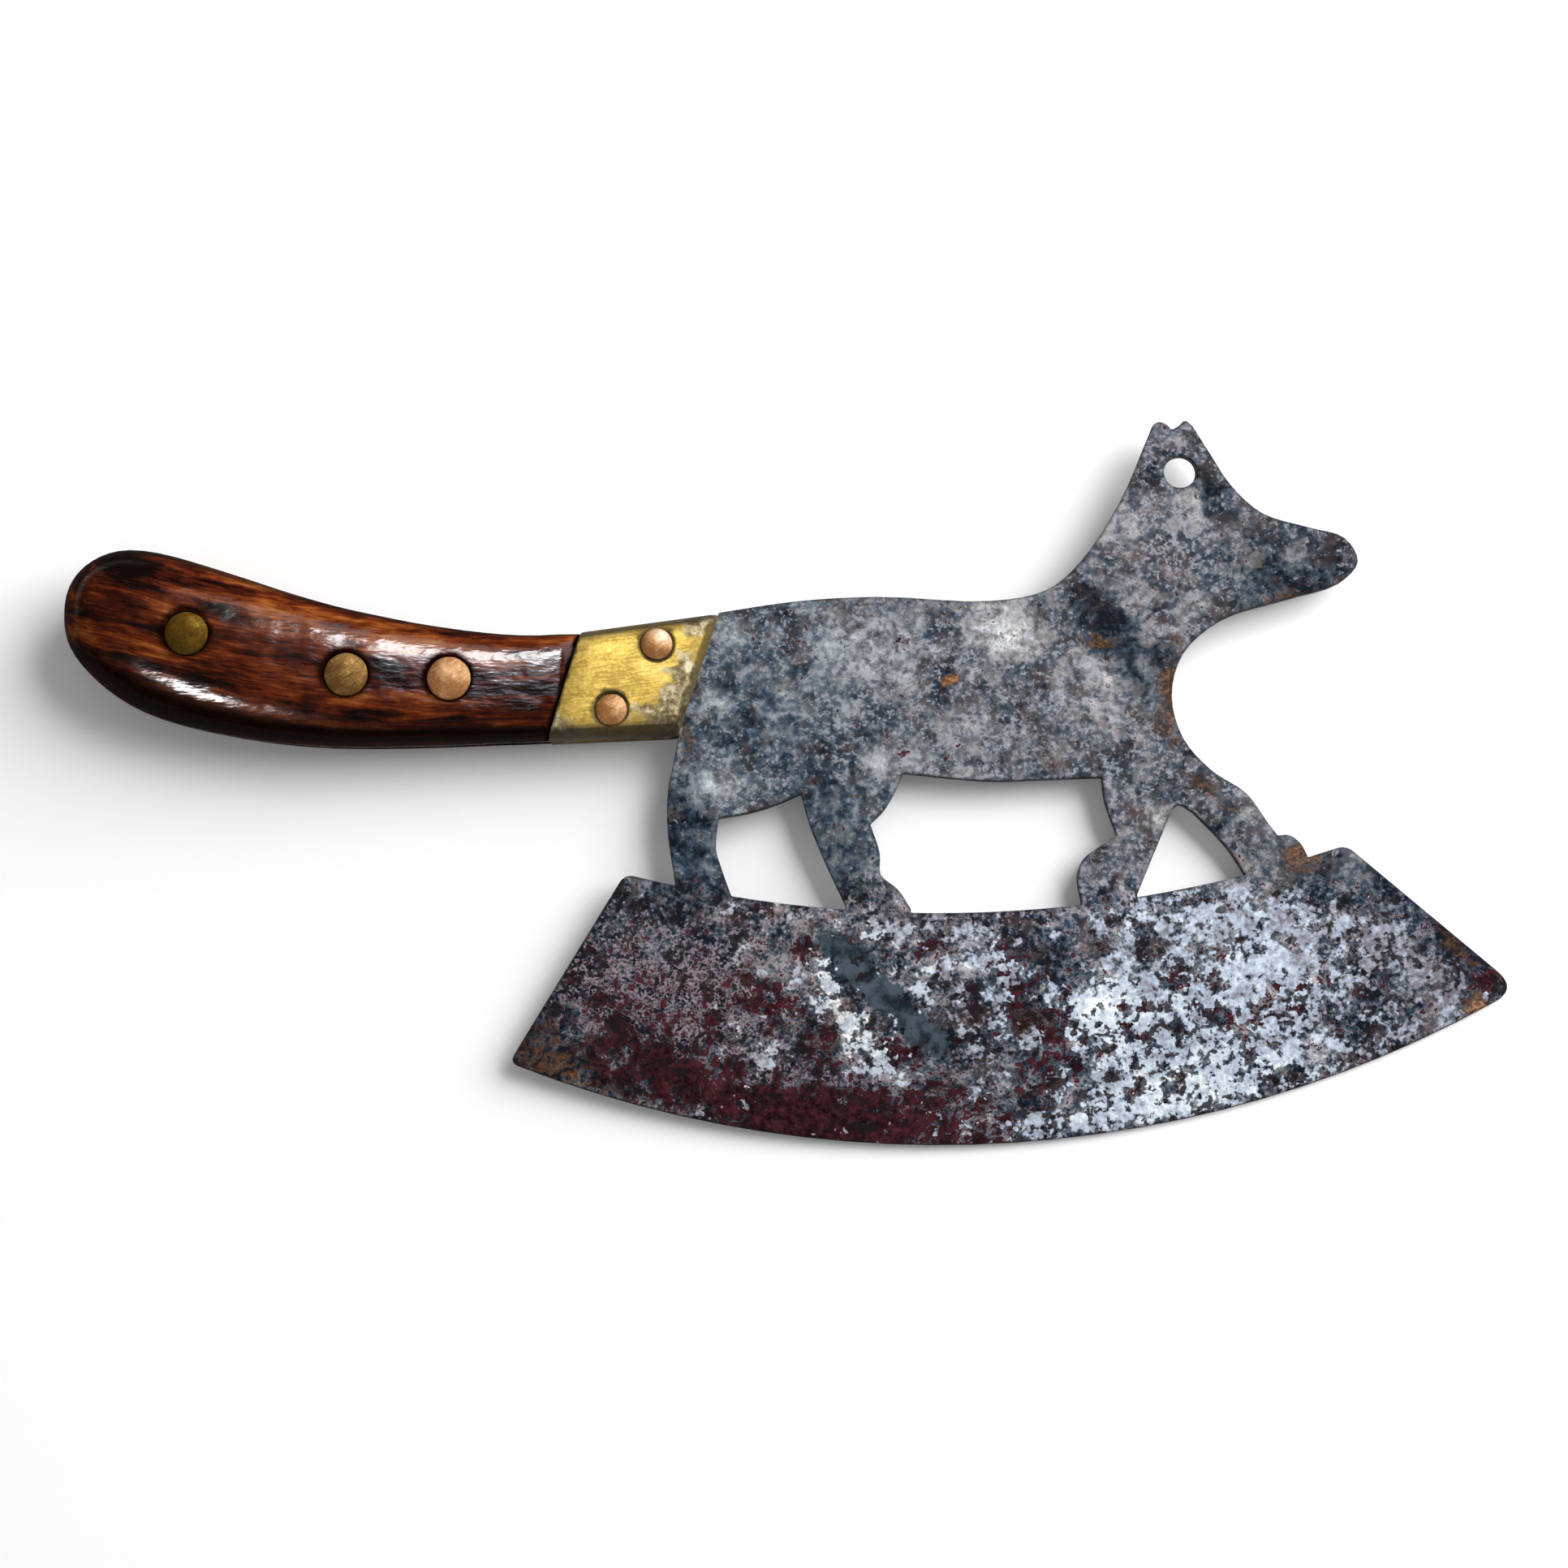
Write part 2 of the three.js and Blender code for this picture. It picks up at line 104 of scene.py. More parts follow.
# Wooden grip: upright stations from the butt to past the bolster, each with its x, its bottom and
# top, its half thickness and how square its section is
GRIP_STATIONS = (
    (-136.75, 10.6, 15.4, 2.4, 2.4),
    (-136.1, 7.4, 18.7, 4.4, 2.4),
    (-135.0, 5.0, 21.0, 5.8, 2.4),
    (-133.5, 2.7, 23.0, 7.2, 2.4),
    (-131.0, -0.1, 25.1, 8.6, 2.4),
    (-127.5, -3.3, 26.8, 9.6, 2.4),
    (-123.0, -6.4, 27.6, 9.9, 2.4),
    (-117.0, -9.3, 26.9, 9.8, 2.5),
    (-110.0, -11.5, 25.0, 9.6, 2.7),
    (-102.0, -13.2, 22.5, 9.3, 2.9),
    (-94.0, -14.5, 19.8, 9.0, 3.1),
    (-86.0, -15.4, 17.0, 8.7, 3.3),
    (-78.0, -15.9, 14.7, 8.4, 3.5),
    (-70.0, -16.0, 12.9, 8.1, 3.6),
    (-62.0, -15.8, 11.3, 7.8, 3.7),
    (-54.0, -15.6, 10.0, 7.5, 3.8),
    (-46.0, -15.2, 8.9, 7.3, 4.0),
    (-38.0, -14.9, 8.2, 7.2, 4.3),
    (-30.0, -14.6, 8.4, 7.1, 4.8),
    (-20.0, -14.2, 9.5, 7.1, 4.8),
)
BOLSTER_STATIONS = (
    (-44.0, -15.1, 6.2, 7.1, 5.0),
    (-32.0, -14.7, 7.8, 7.1, 5.0),
    (-20.0, -14.2, 9.5, 7.1, 5.0),
    (-4.0, -13.5, 11.7, 7.1, 5.0),
    (14.0, -12.7, 14.2, 7.1, 5.0),
)
JOINT_TOP, JOINT_BOTTOM = Vector((-25.1, 8.8, 0)), Vector((-32.0, -14.7, 0))
FRONT_TOP, FRONT_BOTTOM = Vector((4.3, 12.9, 0)), Vector((-4.3, -13.5, 0))


def joint_plane(top, bottom):
    """Direction towards the fox, square to a joint drawn from top to bottom"""
    along = (top - bottom).normalized()
    return Vector((along.y, -along.x, 0))


JOINT_FACING = joint_plane(JOINT_TOP, JOINT_BOTTOM)
FRONT_FACING = joint_plane(FRONT_TOP, FRONT_BOTTOM)

SCALE_RIVETS = ("butt_rivet", "middle_rivet", "neck_rivet")
BOLSTER_RIVETS = ("upper_bolster_rivet", "lower_bolster_rivet")


# Modelling helpers

def only(piece):
    bpy.ops.object.select_all(action="DESELECT")
    piece.select_set(True)
    bpy.context.view_layer.objects.active = piece


def edit(piece):
    only(piece)
    bpy.ops.object.mode_set(mode="EDIT")
    bpy.ops.mesh.select_all(action="SELECT")


def done():
    bpy.ops.object.mode_set(mode="OBJECT")


def apply(piece, kind, **settings):
    only(piece)
    modifier = piece.modifiers.new(kind.lower(), kind)
    for key, value in settings.items():
        setattr(modifier, key, value)
    bpy.ops.object.modifier_apply(modifier=modifier.name)


def soften(piece, width, angle):
    apply(
        piece, "BEVEL", width=width * MM, segments=2, limit_method="ANGLE",
        angle_limit=math.radians(angle), use_clamp_overlap=False,
    )


def weld(piece):
    """Closes up slivers and clears loose flaps that bevels leave at corners"""
    edit(piece)
    bpy.ops.mesh.remove_doubles(threshold=WELD * MM)
    bpy.ops.mesh.dissolve_degenerate(threshold=WELD * MM)
    mesh = bmesh.from_edit_mesh(piece.data)
    for face in mesh.faces:
        face.select_set(any(edge.is_boundary for edge in face.edges))
    bmesh.update_edit_mesh(piece.data)
    bpy.ops.mesh.delete(type="FACE")
    done()


def dent(piece, name, size, depth):
    """Slight unevenness of hand work, with hollows of about this size and depth in millimetres"""
    texture = bpy.data.textures.new(name, "CLOUDS")
    texture.noise_scale = size * MM
    texture.noise_depth = 1
    apply(
        piece, "DISPLACE", texture=texture, texture_coords="LOCAL",
        strength=depth * MM, mid_level=1.0,
    )


def copy_of(piece, name):
    twin = piece.copy()
    twin.data = piece.data.copy()
    twin.name = name
    bpy.context.scene.collection.objects.link(twin)
    return twin


def squared(angle, power):
    """A point on a unit ellipse section that is squarer the higher the power"""
    cosine, sine = math.cos(angle), math.sin(angle)
    return (
        math.copysign(abs(cosine) ** (2 / power), cosine),
        math.copysign(abs(sine) ** (2 / power), sine),
    )


def bar(name, stations):
    """A solid bar drawn out through upright stations"""
    last = len(stations) - 1
    bpy.ops.object.select_all(action="DESELECT")
    bpy.ops.mesh.primitive_cylinder_add(vertices=RING, radius=1, depth=last)
    piece = bpy.context.object
    piece.name = name
    edit(piece)
    bpy.ops.mesh.select_all(action="DESELECT")
    mesh = bmesh.from_edit_mesh(piece.data)
    for edge in mesh.edges:
        edge.select_set(abs(edge.verts[0].co.z - edge.verts[1].co.z) > last / 2)
    bmesh.update_edit_mesh(piece.data)
    bpy.ops.mesh.subdivide(number_cuts=last - 1)
    mesh = bmesh.from_edit_mesh(piece.data)
    for vertex in mesh.verts:
        x, bottom, top, thick, power = stations[round(vertex.co.z + last / 2)]
        across, up = squared(math.atan2(vertex.co.y, vertex.co.x), power)
        middle, half = (top + bottom) / 2, (top - bottom) / 2
        vertex.co = Vector((x, middle + half * across, thick * up)) * MM
    bmesh.update_edit_mesh(piece.data)
    done()
    return piece


def saw(piece, point, direction):
    """Cuts a piece off square at a plane and keeps what lies behind the direction"""
    edit(piece)
    bpy.ops.mesh.bisect(plane_co=point, plane_no=direction, use_fill=True, clear_outer=True)
    done()


def turned(name, profile, centre):
    """A piece turned about an upright axis, from radius and height in millimetres"""
    bpy.ops.object.select_all(action="DESELECT")
    bpy.ops.mesh.primitive_plane_add(size=MM)
    piece = bpy.context.object
    piece.name = name
    edit(piece)
    bpy.ops.mesh.merge(type="CENTER")
    bpy.ops.transform.translate(value=Vector((profile[0][0], 0, profile[0][1])) * MM)
    for before, after in zip(profile, profile[1:]):
        step = Vector((after[0] - before[0], 0, after[1] - before[1])) * MM
        bpy.ops.mesh.extrude_vertices_move(TRANSFORM_OT_translate={"value": step})
    bpy.ops.mesh.select_all(action="SELECT")
    bpy.ops.mesh.spin(steps=RING, angle=2 * math.pi, center=(0, 0, 0), axis=(0, 0, 1))
    bpy.ops.mesh.select_all(action="SELECT")
    bpy.ops.mesh.remove_doubles(threshold=SEAM * MM)
    bpy.ops.mesh.normals_make_consistent(inside=False)
    done()
    piece.location = centre
    only(piece)
    bpy.ops.object.transform_apply()
    return piece


def rivet_sizes(node):
    """A rivet's place, head radius and half length in the drawing"""
    back = drawing_place.inverted()
    centre = back @ middle_of(node)
    points = [back @ vertex.co - centre for vertex in frame["nodes"][node].data.vertices]
    radius = max(point.xy.length for point in points)
    return centre, radius / MM, max(point.z for point in points) / MM


def both_sides(profile):
    """A profile and its mirror image below"""
    return list(profile) + [(radius, -height) for radius, height in reversed(profile)]


def drill(piece, rivets):
    """Sinks the holes and head seats of rivets into a piece"""
    for node in rivets:
        centre, radius, half = rivet_sizes(node)
        head, shank = radius + HOLE_CLEARANCE, radius * SHANK_SHARE + HOLE_CLEARANCE
        rim = half - HEAD_DOME
        flare = head + HOLE_FLARE
        profile = [(0, rim + DRILL_RISE), (flare + DRILL_SPREAD, rim + DRILL_RISE)]
        profile += [(flare, rim + FLARE_RISE), (head, rim - FLARE_RISE)]
        profile += [(head, rim - HEAD_DEPTH), (shank, rim - HEAD_DEPTH)]
        cutter = turned("cutter", both_sides(profile), centre)
        apply(piece, "BOOLEAN", operation="DIFFERENCE", solver="EXACT", object=cutter)
        bpy.data.objects.remove(cutter)


def smooth(piece, angle):
    only(piece)
    bpy.ops.object.shade_smooth_by_angle(angle=math.radians(angle))


def hand_over(piece, node, finish):
    """Lays a finished piece into the frame in place of its plain solid"""
    piece.matrix_world = drawing_place
    only(piece)
    bpy.ops.object.transform_apply()
    dress(piece, node, finish)


def dress(piece, node, finish):
    piece.data.materials.clear()
    piece.data.materials.append(finish)
    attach(piece, "root")
    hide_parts(node)


# Material helpers

def put(tree, kind, inputs=None, **settings):
    node = tree.nodes.new(kind)
    for key, value in settings.items():
        setattr(node, key, value)
    for key, value in (inputs or {}).items():
        if isinstance(value, bpy.types.NodeSocket):
            tree.links.new(value, node.inputs[key])
        else:
            node.inputs[key].default_value = value
    return node


def new_finish(name):
    material = bpy.data.materials.new(name)
    material.use_nodes = True
    tree = material.node_tree
    where = put(tree, "ShaderNodeTexCoord").outputs["Object"]
    return material, tree, where


def shade(tree, **inputs):
    shader = tree.nodes["Principled BSDF"]
    for key, value in inputs.items():
        socket = shader.inputs[key.replace("_", " ")]
        if isinstance(value, bpy.types.NodeSocket):
            tree.links.new(value, socket)
        else:
            socket.default_value = value


def calc(tree, operation, first, second=0.0, clamp=False):
    inputs = {0: first, 1: second}
    return put(tree, "ShaderNodeMath", inputs, operation=operation, use_clamp=clamp).outputs[0]


def total(tree, *values):
    result = values[0]
    for value in values[1:]:
        result = calc(tree, "ADD", result, value)
    return result


def scaled(tree, value, factor):
    return calc(tree, "MULTIPLY", value, factor)


def span(tree, value, low, high, start=0.0, end=1.0):
    """Smooth step from start at low to end at high"""
    inputs = {"Value": value, "From Min": low, "From Max": high, "To Min": start, "To Max": end}
    node = put(tree, "ShaderNodeMapRange", inputs, interpolation_type="SMOOTHSTEP", clamp=False)
    return node.outputs[0]


def noise(tree, where, size, detail=3.0, roughness=0.6, output="Fac"):
    """Cloudy noise whose features are about this many millimetres across"""
    inputs = {"Vector": where, "Scale": 1 / (size * MM), "Detail": detail, "Roughness": roughness}
    return put(tree, "ShaderNodeTexNoise", inputs).outputs[output]


def stretched(tree, where, along, turn=0.0):
    """Coordinates drawn out along a turned X axis"""
    inputs = {"Vector": where, "Rotation": (0, 0, math.radians(turn)), "Scale": (along, 1, 1)}
    return put(tree, "ShaderNodeMapping", inputs, vector_type="TEXTURE").outputs[0]


def vector(tree, operation, inputs):
    return put(tree, "ShaderNodeVectorMath", inputs, operation=operation)


def shifted(tree, where, shift):
    return vector(tree, "ADD", {0: where, 1: shift}).outputs[0]


def warped(tree, where, size, reach):
    """Coordinates stirred by noise of this size, by up to this reach, in millimetres"""
    stir = noise(tree, where, size, detail=2.0, output="Color")
    centred = vector(tree, "SUBTRACT", {0: stir, 1: (0.5, 0.5, 0.5)}).outputs[0]
    moved = vector(tree, "SCALE", {0: centred, "Scale": 2 * reach * MM}).outputs[0]
    return vector(tree, "ADD", {0: where, 1: moved}).outputs[0]


def blend(tree, share, first, second):
    return put(tree, "ShaderNodeMix", {0: share, 6: first, 7: second}, data_type="RGBA").outputs[2]


def tinted(tree, colour, tint):
    """A colour seen through a tint"""
    inputs = {0: 1.0, 6: colour, 7: tint}
    return put(tree, "ShaderNodeMix", inputs, data_type="RGBA", blend_type="MULTIPLY").outputs[2]


def ramp(tree, value, stops):
    node = put(tree, "ShaderNodeValToRGB", {"Fac": value})
    elements = node.color_ramp.elements
    while len(elements) < len(stops):
        elements.new(0.5)
    for element, (position, colour) in zip(elements, stops):
        element.position = position
        element.color = (*colour, 1)
    return node.outputs[0]


def patches(tree, where, spots, outer=1.45, inner=0.1):
    """Sum of soft stains, each with its x and y, half length, half width, turn and strength"""
    result = 0.0
    for x, y, long, wide, turn, strength in spots.values():
        inputs = {
            "Vector": where,
            "Location": Vector((x, y, 0)) * MM,
            "Rotation": (0, 0, math.radians(turn)),
            "Scale": (long * outer * MM, wide * outer * MM, 1),
        }
        local = put(tree, "ShaderNodeMapping", inputs, vector_type="TEXTURE").outputs[0]
        gradient = put(tree, "ShaderNodeTexGradient", {"Vector": local}, gradient_type="SPHERICAL")
        near = gradient.outputs["Fac"]
        result = calc(tree, "ADD", result, span(tree, near, 0.0, 1 - inner / outer, 0.0, strength))
    return result


def edge_mask(tree, radius, low, high):
    """1 along the edges of a piece, where its rounded normal leaves its own"""
    rounded = put(tree, "ShaderNodeBevel", {"Radius": radius * MM}, samples=6).outputs[0]
    own = put(tree, "ShaderNodeNewGeometry").outputs["Normal"]
    agree = vector(tree, "DOT_PRODUCT", {0: rounded, 1: own}).outputs["Value"]
    return span(tree, calc(tree, "SUBTRACT", 1.0, agree), low, high)


def lean_mask(tree, start, full):
    """0 to 1 as the y of a surface's normal goes from start to full"""
    normal = put(tree, "ShaderNodeNewGeometry").outputs["Normal"]
    return span(tree, put(tree, "ShaderNodeSeparateXYZ", {0: normal}).outputs[1], start, full)


def steep_mask(tree, start, full):
    """0 to 1 as the size of the z of a surface's normal goes from start to full"""
    normal = put(tree, "ShaderNodeNewGeometry").outputs["Normal"]
    level = calc(tree, "ABSOLUTE", put(tree, "ShaderNodeSeparateXYZ", {0: normal}).outputs[2])
    return span(tree, level, start, full)


def bump(tree, height, strength, distance):
    inputs = {"Height": height, "Strength": strength, "Distance": distance * MM}
    return put(tree, "ShaderNodeBump", inputs).outputs[0]


# Old steel: stains on the sheet by the frame's x and y, half length, half width, turn and strength
PALE_STAINS = {
    "toe half": (97, -44, 36, 17, 14, 0.35),
    "toe half below": (84, -66, 30, 10, 13, 0.27),
    "white by the middle": (68, -48, 6, 5, 20, 0.26),
    "white run": (71.5, -58, 4.5, 7, 20, 0.12),
    "low middle": (62, -74, 13, 4, 10, 0.2),
    "middle": (51, -52, 13, 24, 0, 0.1),
    "under the fore legs": (84, -29, 22, 5, 8, 0.2),
    "edge to the toe": (120, -58, 24, 5, 22, 0.1),
    "toe patches": (135, -42, 18, 11, -30, 0.2),
    "fringe left of scrape": (9.7, -42, 8, 2.8, -60, 0.32),
    "fringe below scrape": (16.5, -55, 10, 4.6, -32, 0.3),
    "fringe under it": (24, -62.5, 8, 3, -10, 0.26),
    "fringe right of scrape": (24, -33.5, 8, 3.4, 0, 0.28),
    "speckle right of it": (31, -43, 5, 4, 0, 0.24),
    "over middle": (42, -38, 10, 8, 0, 0.18),
    "spots left of scrape": (-5, -58, 8, 3.4, 0, 0.16),
    "heel": (-32, -45, 24, 18, -8, -0.14),
    "shoulder": (49.4, 32.8, 9, 7.5, 0, 0.46),
    "rump": (-14, -1.2, 7.5, 6.5, 0, 0.48),
    "beside bolster": (-13, 17, 5, 4, 0, 0.22),
    "flank": (20, 27, 17, 8, -10, 0.24),
    "low flank": (54, 13, 20, 7, 10, 0.16),
    "cheek": (84, 54, 13, 8, -40, 0.14),
    "breast": (66, 24, 8, 4, -20, 0.22),
    "fore leg": (76, -10, 10, 5, 65, 0.06),
}
WHITE_FLAKES = {
    "round the scrape": (17, -48, 18, 13, -50, 0.2),
    "by the middle": (68, -51, 9, 10, 0, 0.22),
    "low right": (84, -67, 30, 8, 13, 0.17),
    "toe": (134, -40, 24, 17, -30, -0.16),
}
DARK_STAINS = {
    "scrape": (15.6, -40.2, 14, 5.6, -48, 0.16),
    "scrape end": (29.4, -53.6, 12, 4.6, -42, 0.14),
    "heel": (-34, -45, 26, 18, 0, 0.07),
    "heel corner": (-48, -61, 12, 7, -30, 0.14),
    "heel top": (-32, -27, 16, 8, 0, 0.05),
    "loin": (-4, 14, 13, 14, 20, 0.16),
    "hind leg": (-19.5, -14, 8, 18, 0, 0.32),
    "second hind leg": (13, -13, 10, 18, 24, 0.2),
    "muzzle": (107, 44, 18, 11, -10, 0.26),
    "by the hanging hole": (94, 62, 8, 4, -55, 0.24),
    "neck band": (73, 30, 18, 6.5, -58, 0.36),
    "toe top": (116, -21, 16, 6, -14, 0.22),
    "toe edge": (138, -30, 16, 6, -40, 0.2),
    "toe middle": (124, -45, 10, 9, 0, 0.12),
    "middle": (57, -39, 8, 9, 0, 0.15),
    "low middle": (51, -65, 7, 9, 0, 0.08),
}
BLOOMS = {
    "heel": (-24, -47, 26, 15, -8, 0.4),
    "under the maroon": (6, -69, 46, 9, -8, 0.3),
    "toe": (106, -43, 14, 11, 0, 0.2),
    "neck": (88, 50, 14, 9, -40, 0.16),
}
SCRAPES = {
    "scrape": (15.6, -40.2, 15, 5.8, -48, 0.7),
    "scrape end": (29.4, -53.6, 12.4, 4.6, -42, 0.7),
}
MAROON_STAINS = {
    "heel corner": (-47, -60, 15, 8, -30, 0.1),
    "heel edge": (-12, -68, 30, 7.5, -13, 0.39),
    "middle edge": (24, -74, 31, 10, -3, 0.45),
    "over heel edge": (-27, -53, 26, 13, -12, 0.22),
    "spot row": (-2, -47.5, 10, 5, -10, 0.32),
    "under fringe": (25, -59, 7, 4, 0, 0.38),
    "left of fringe": (8, -58, 5, 5, 0, 0.3),
    "spot by scrape": (31.4, -36.2, 3.2, 3, 0, 0.5),
    "spot left of scrape": (5.2, -37, 3.2, 3, 0, 0.5),
    "run": (49.3, -44, 4, 10, 0, 0.34),
    "below run": (57, -58, 7, 10, 0, 0.24),
    "toe specks": (88, -50, 36, 15, 12, 0.23),
    "toe corner": (151, -42.5, 8, 7, -30, 0.36),
}
RUST_STAINS = {
    "heel": (-50, -58, 13, 8, -35, 0.22),
    "heel edge": (-40, -66, 12, 2.6, -22, 0.14),
    "toe spot": (147.8, -49, 2.8, 2.2, 20, 0.6),
    "toe end": (144, -37, 13, 2.2, -40, 0.18),
    "throat": (84.6, 18.5, 16, 4.2, 88, 0.28),
    "breast edge": (92, -3, 10, 2.2, -40, 0.26),
    "paw": (110.5, -16.5, 4.5, 4, 0, 0.4),
    "flank spot": (36.7, 20.9, 2, 1.8, 0, 0.6),
    "neck spot": (68.5, 29.3, 4.5, 2, 0, 0.3),
    "rump edge": (-20.5, 7, 2.4, 6, 0, 0.24),
    "jaw": (106, 38, 9, 2, 15, 0.24),
    "back": (20, 38, 40, 1.8, -2, 0.14),
}

# Colours of the steel, from dark to pale
STEEL_TONES = (
    (0.08, (0.005, 0.008, 0.014)),
    (0.28, (0.033, 0.049, 0.072)),
    (0.45, (0.100, 0.118, 0.146)),
    (0.62, (0.232, 0.235, 0.252)),
    (0.80, (0.44, 0.44, 0.45)),
    (1.00, (0.74, 0.75, 0.76)),
)
MAROON_TONES = (
    (0.38, (0.007, 0.0006, 0.0012)),
    (0.51, (0.028, 0.0026, 0.0052)),
    (0.66, (0.074, 0.0105, 0.017)),
)
FLAKE_TONES = (
    (0.05, (0.17, 0.15, 0.17)),
    (0.20, (0.28, 0.275, 0.315)),
    (0.36, (0.43, 0.48, 0.58)),
    (0.54, (0.65, 0.71, 0.77)),
    (0.70, (0.92, 0.93, 0.93)),
)
RUST_TONES = (
    (0.20, (0.018, 0.011, 0.009)),
    (0.45, (0.066, 0.038, 0.022)),
    (0.70, (0.160, 0.068, 0.026)),
    (0.95, (0.42, 0.19, 0.05)),
)
BROWN_FILM = (0.066, 0.042, 0.033, 1)
TAN_FILM = (0.28, 0.25, 0.23, 1)
FOX_BLOOM = (0.27, 0.275, 0.31, 1)
POWDER_DARK, POWDER_PALE = (0.105, 0.078, 0.095, 1), (0.285, 0.230, 0.268, 1)
SLATE_DARK, SLATE_PALE = (0.010, 0.017, 0.026, 1), (0.064, 0.086, 0.110, 1)
PIT_BLACK = (0.012, 0.008, 0.009, 1)
EDGE_BLACK = (0.016, 0.012, 0.011, 1)

# Tints from the rear of the chopper to its front
FOX_TINTS = (0.87, 0.97, 1.0, 1), (1.03, 1.0, 0.97, 1)
BLADE_TINTS = (1.06, 1.0, 0.95, 1), (0.98, 1.0, 1.03, 1)
FLAKE_TINTS = (1.04, 1.0, 0.95, 1), (0.97, 1.0, 1.03, 1)

# Where the fox's feet pass into the blade, and its rear into its front, in millimetres
FEET_Y, BLADE_Y = -20, -27
REAR_X, FRONT_X = -5, 60

# Shifts that keep one noise from following another
DUST_SHIFT = (0.5, 0.2, 0.1)
SPECKLE_SHIFT = (0.1, 0.3, 0.2)
EARTH_SHIFT = (0.4, 0.1, 0.3)
BLOT_SHIFT = (0.3, 0.6, 0.2)


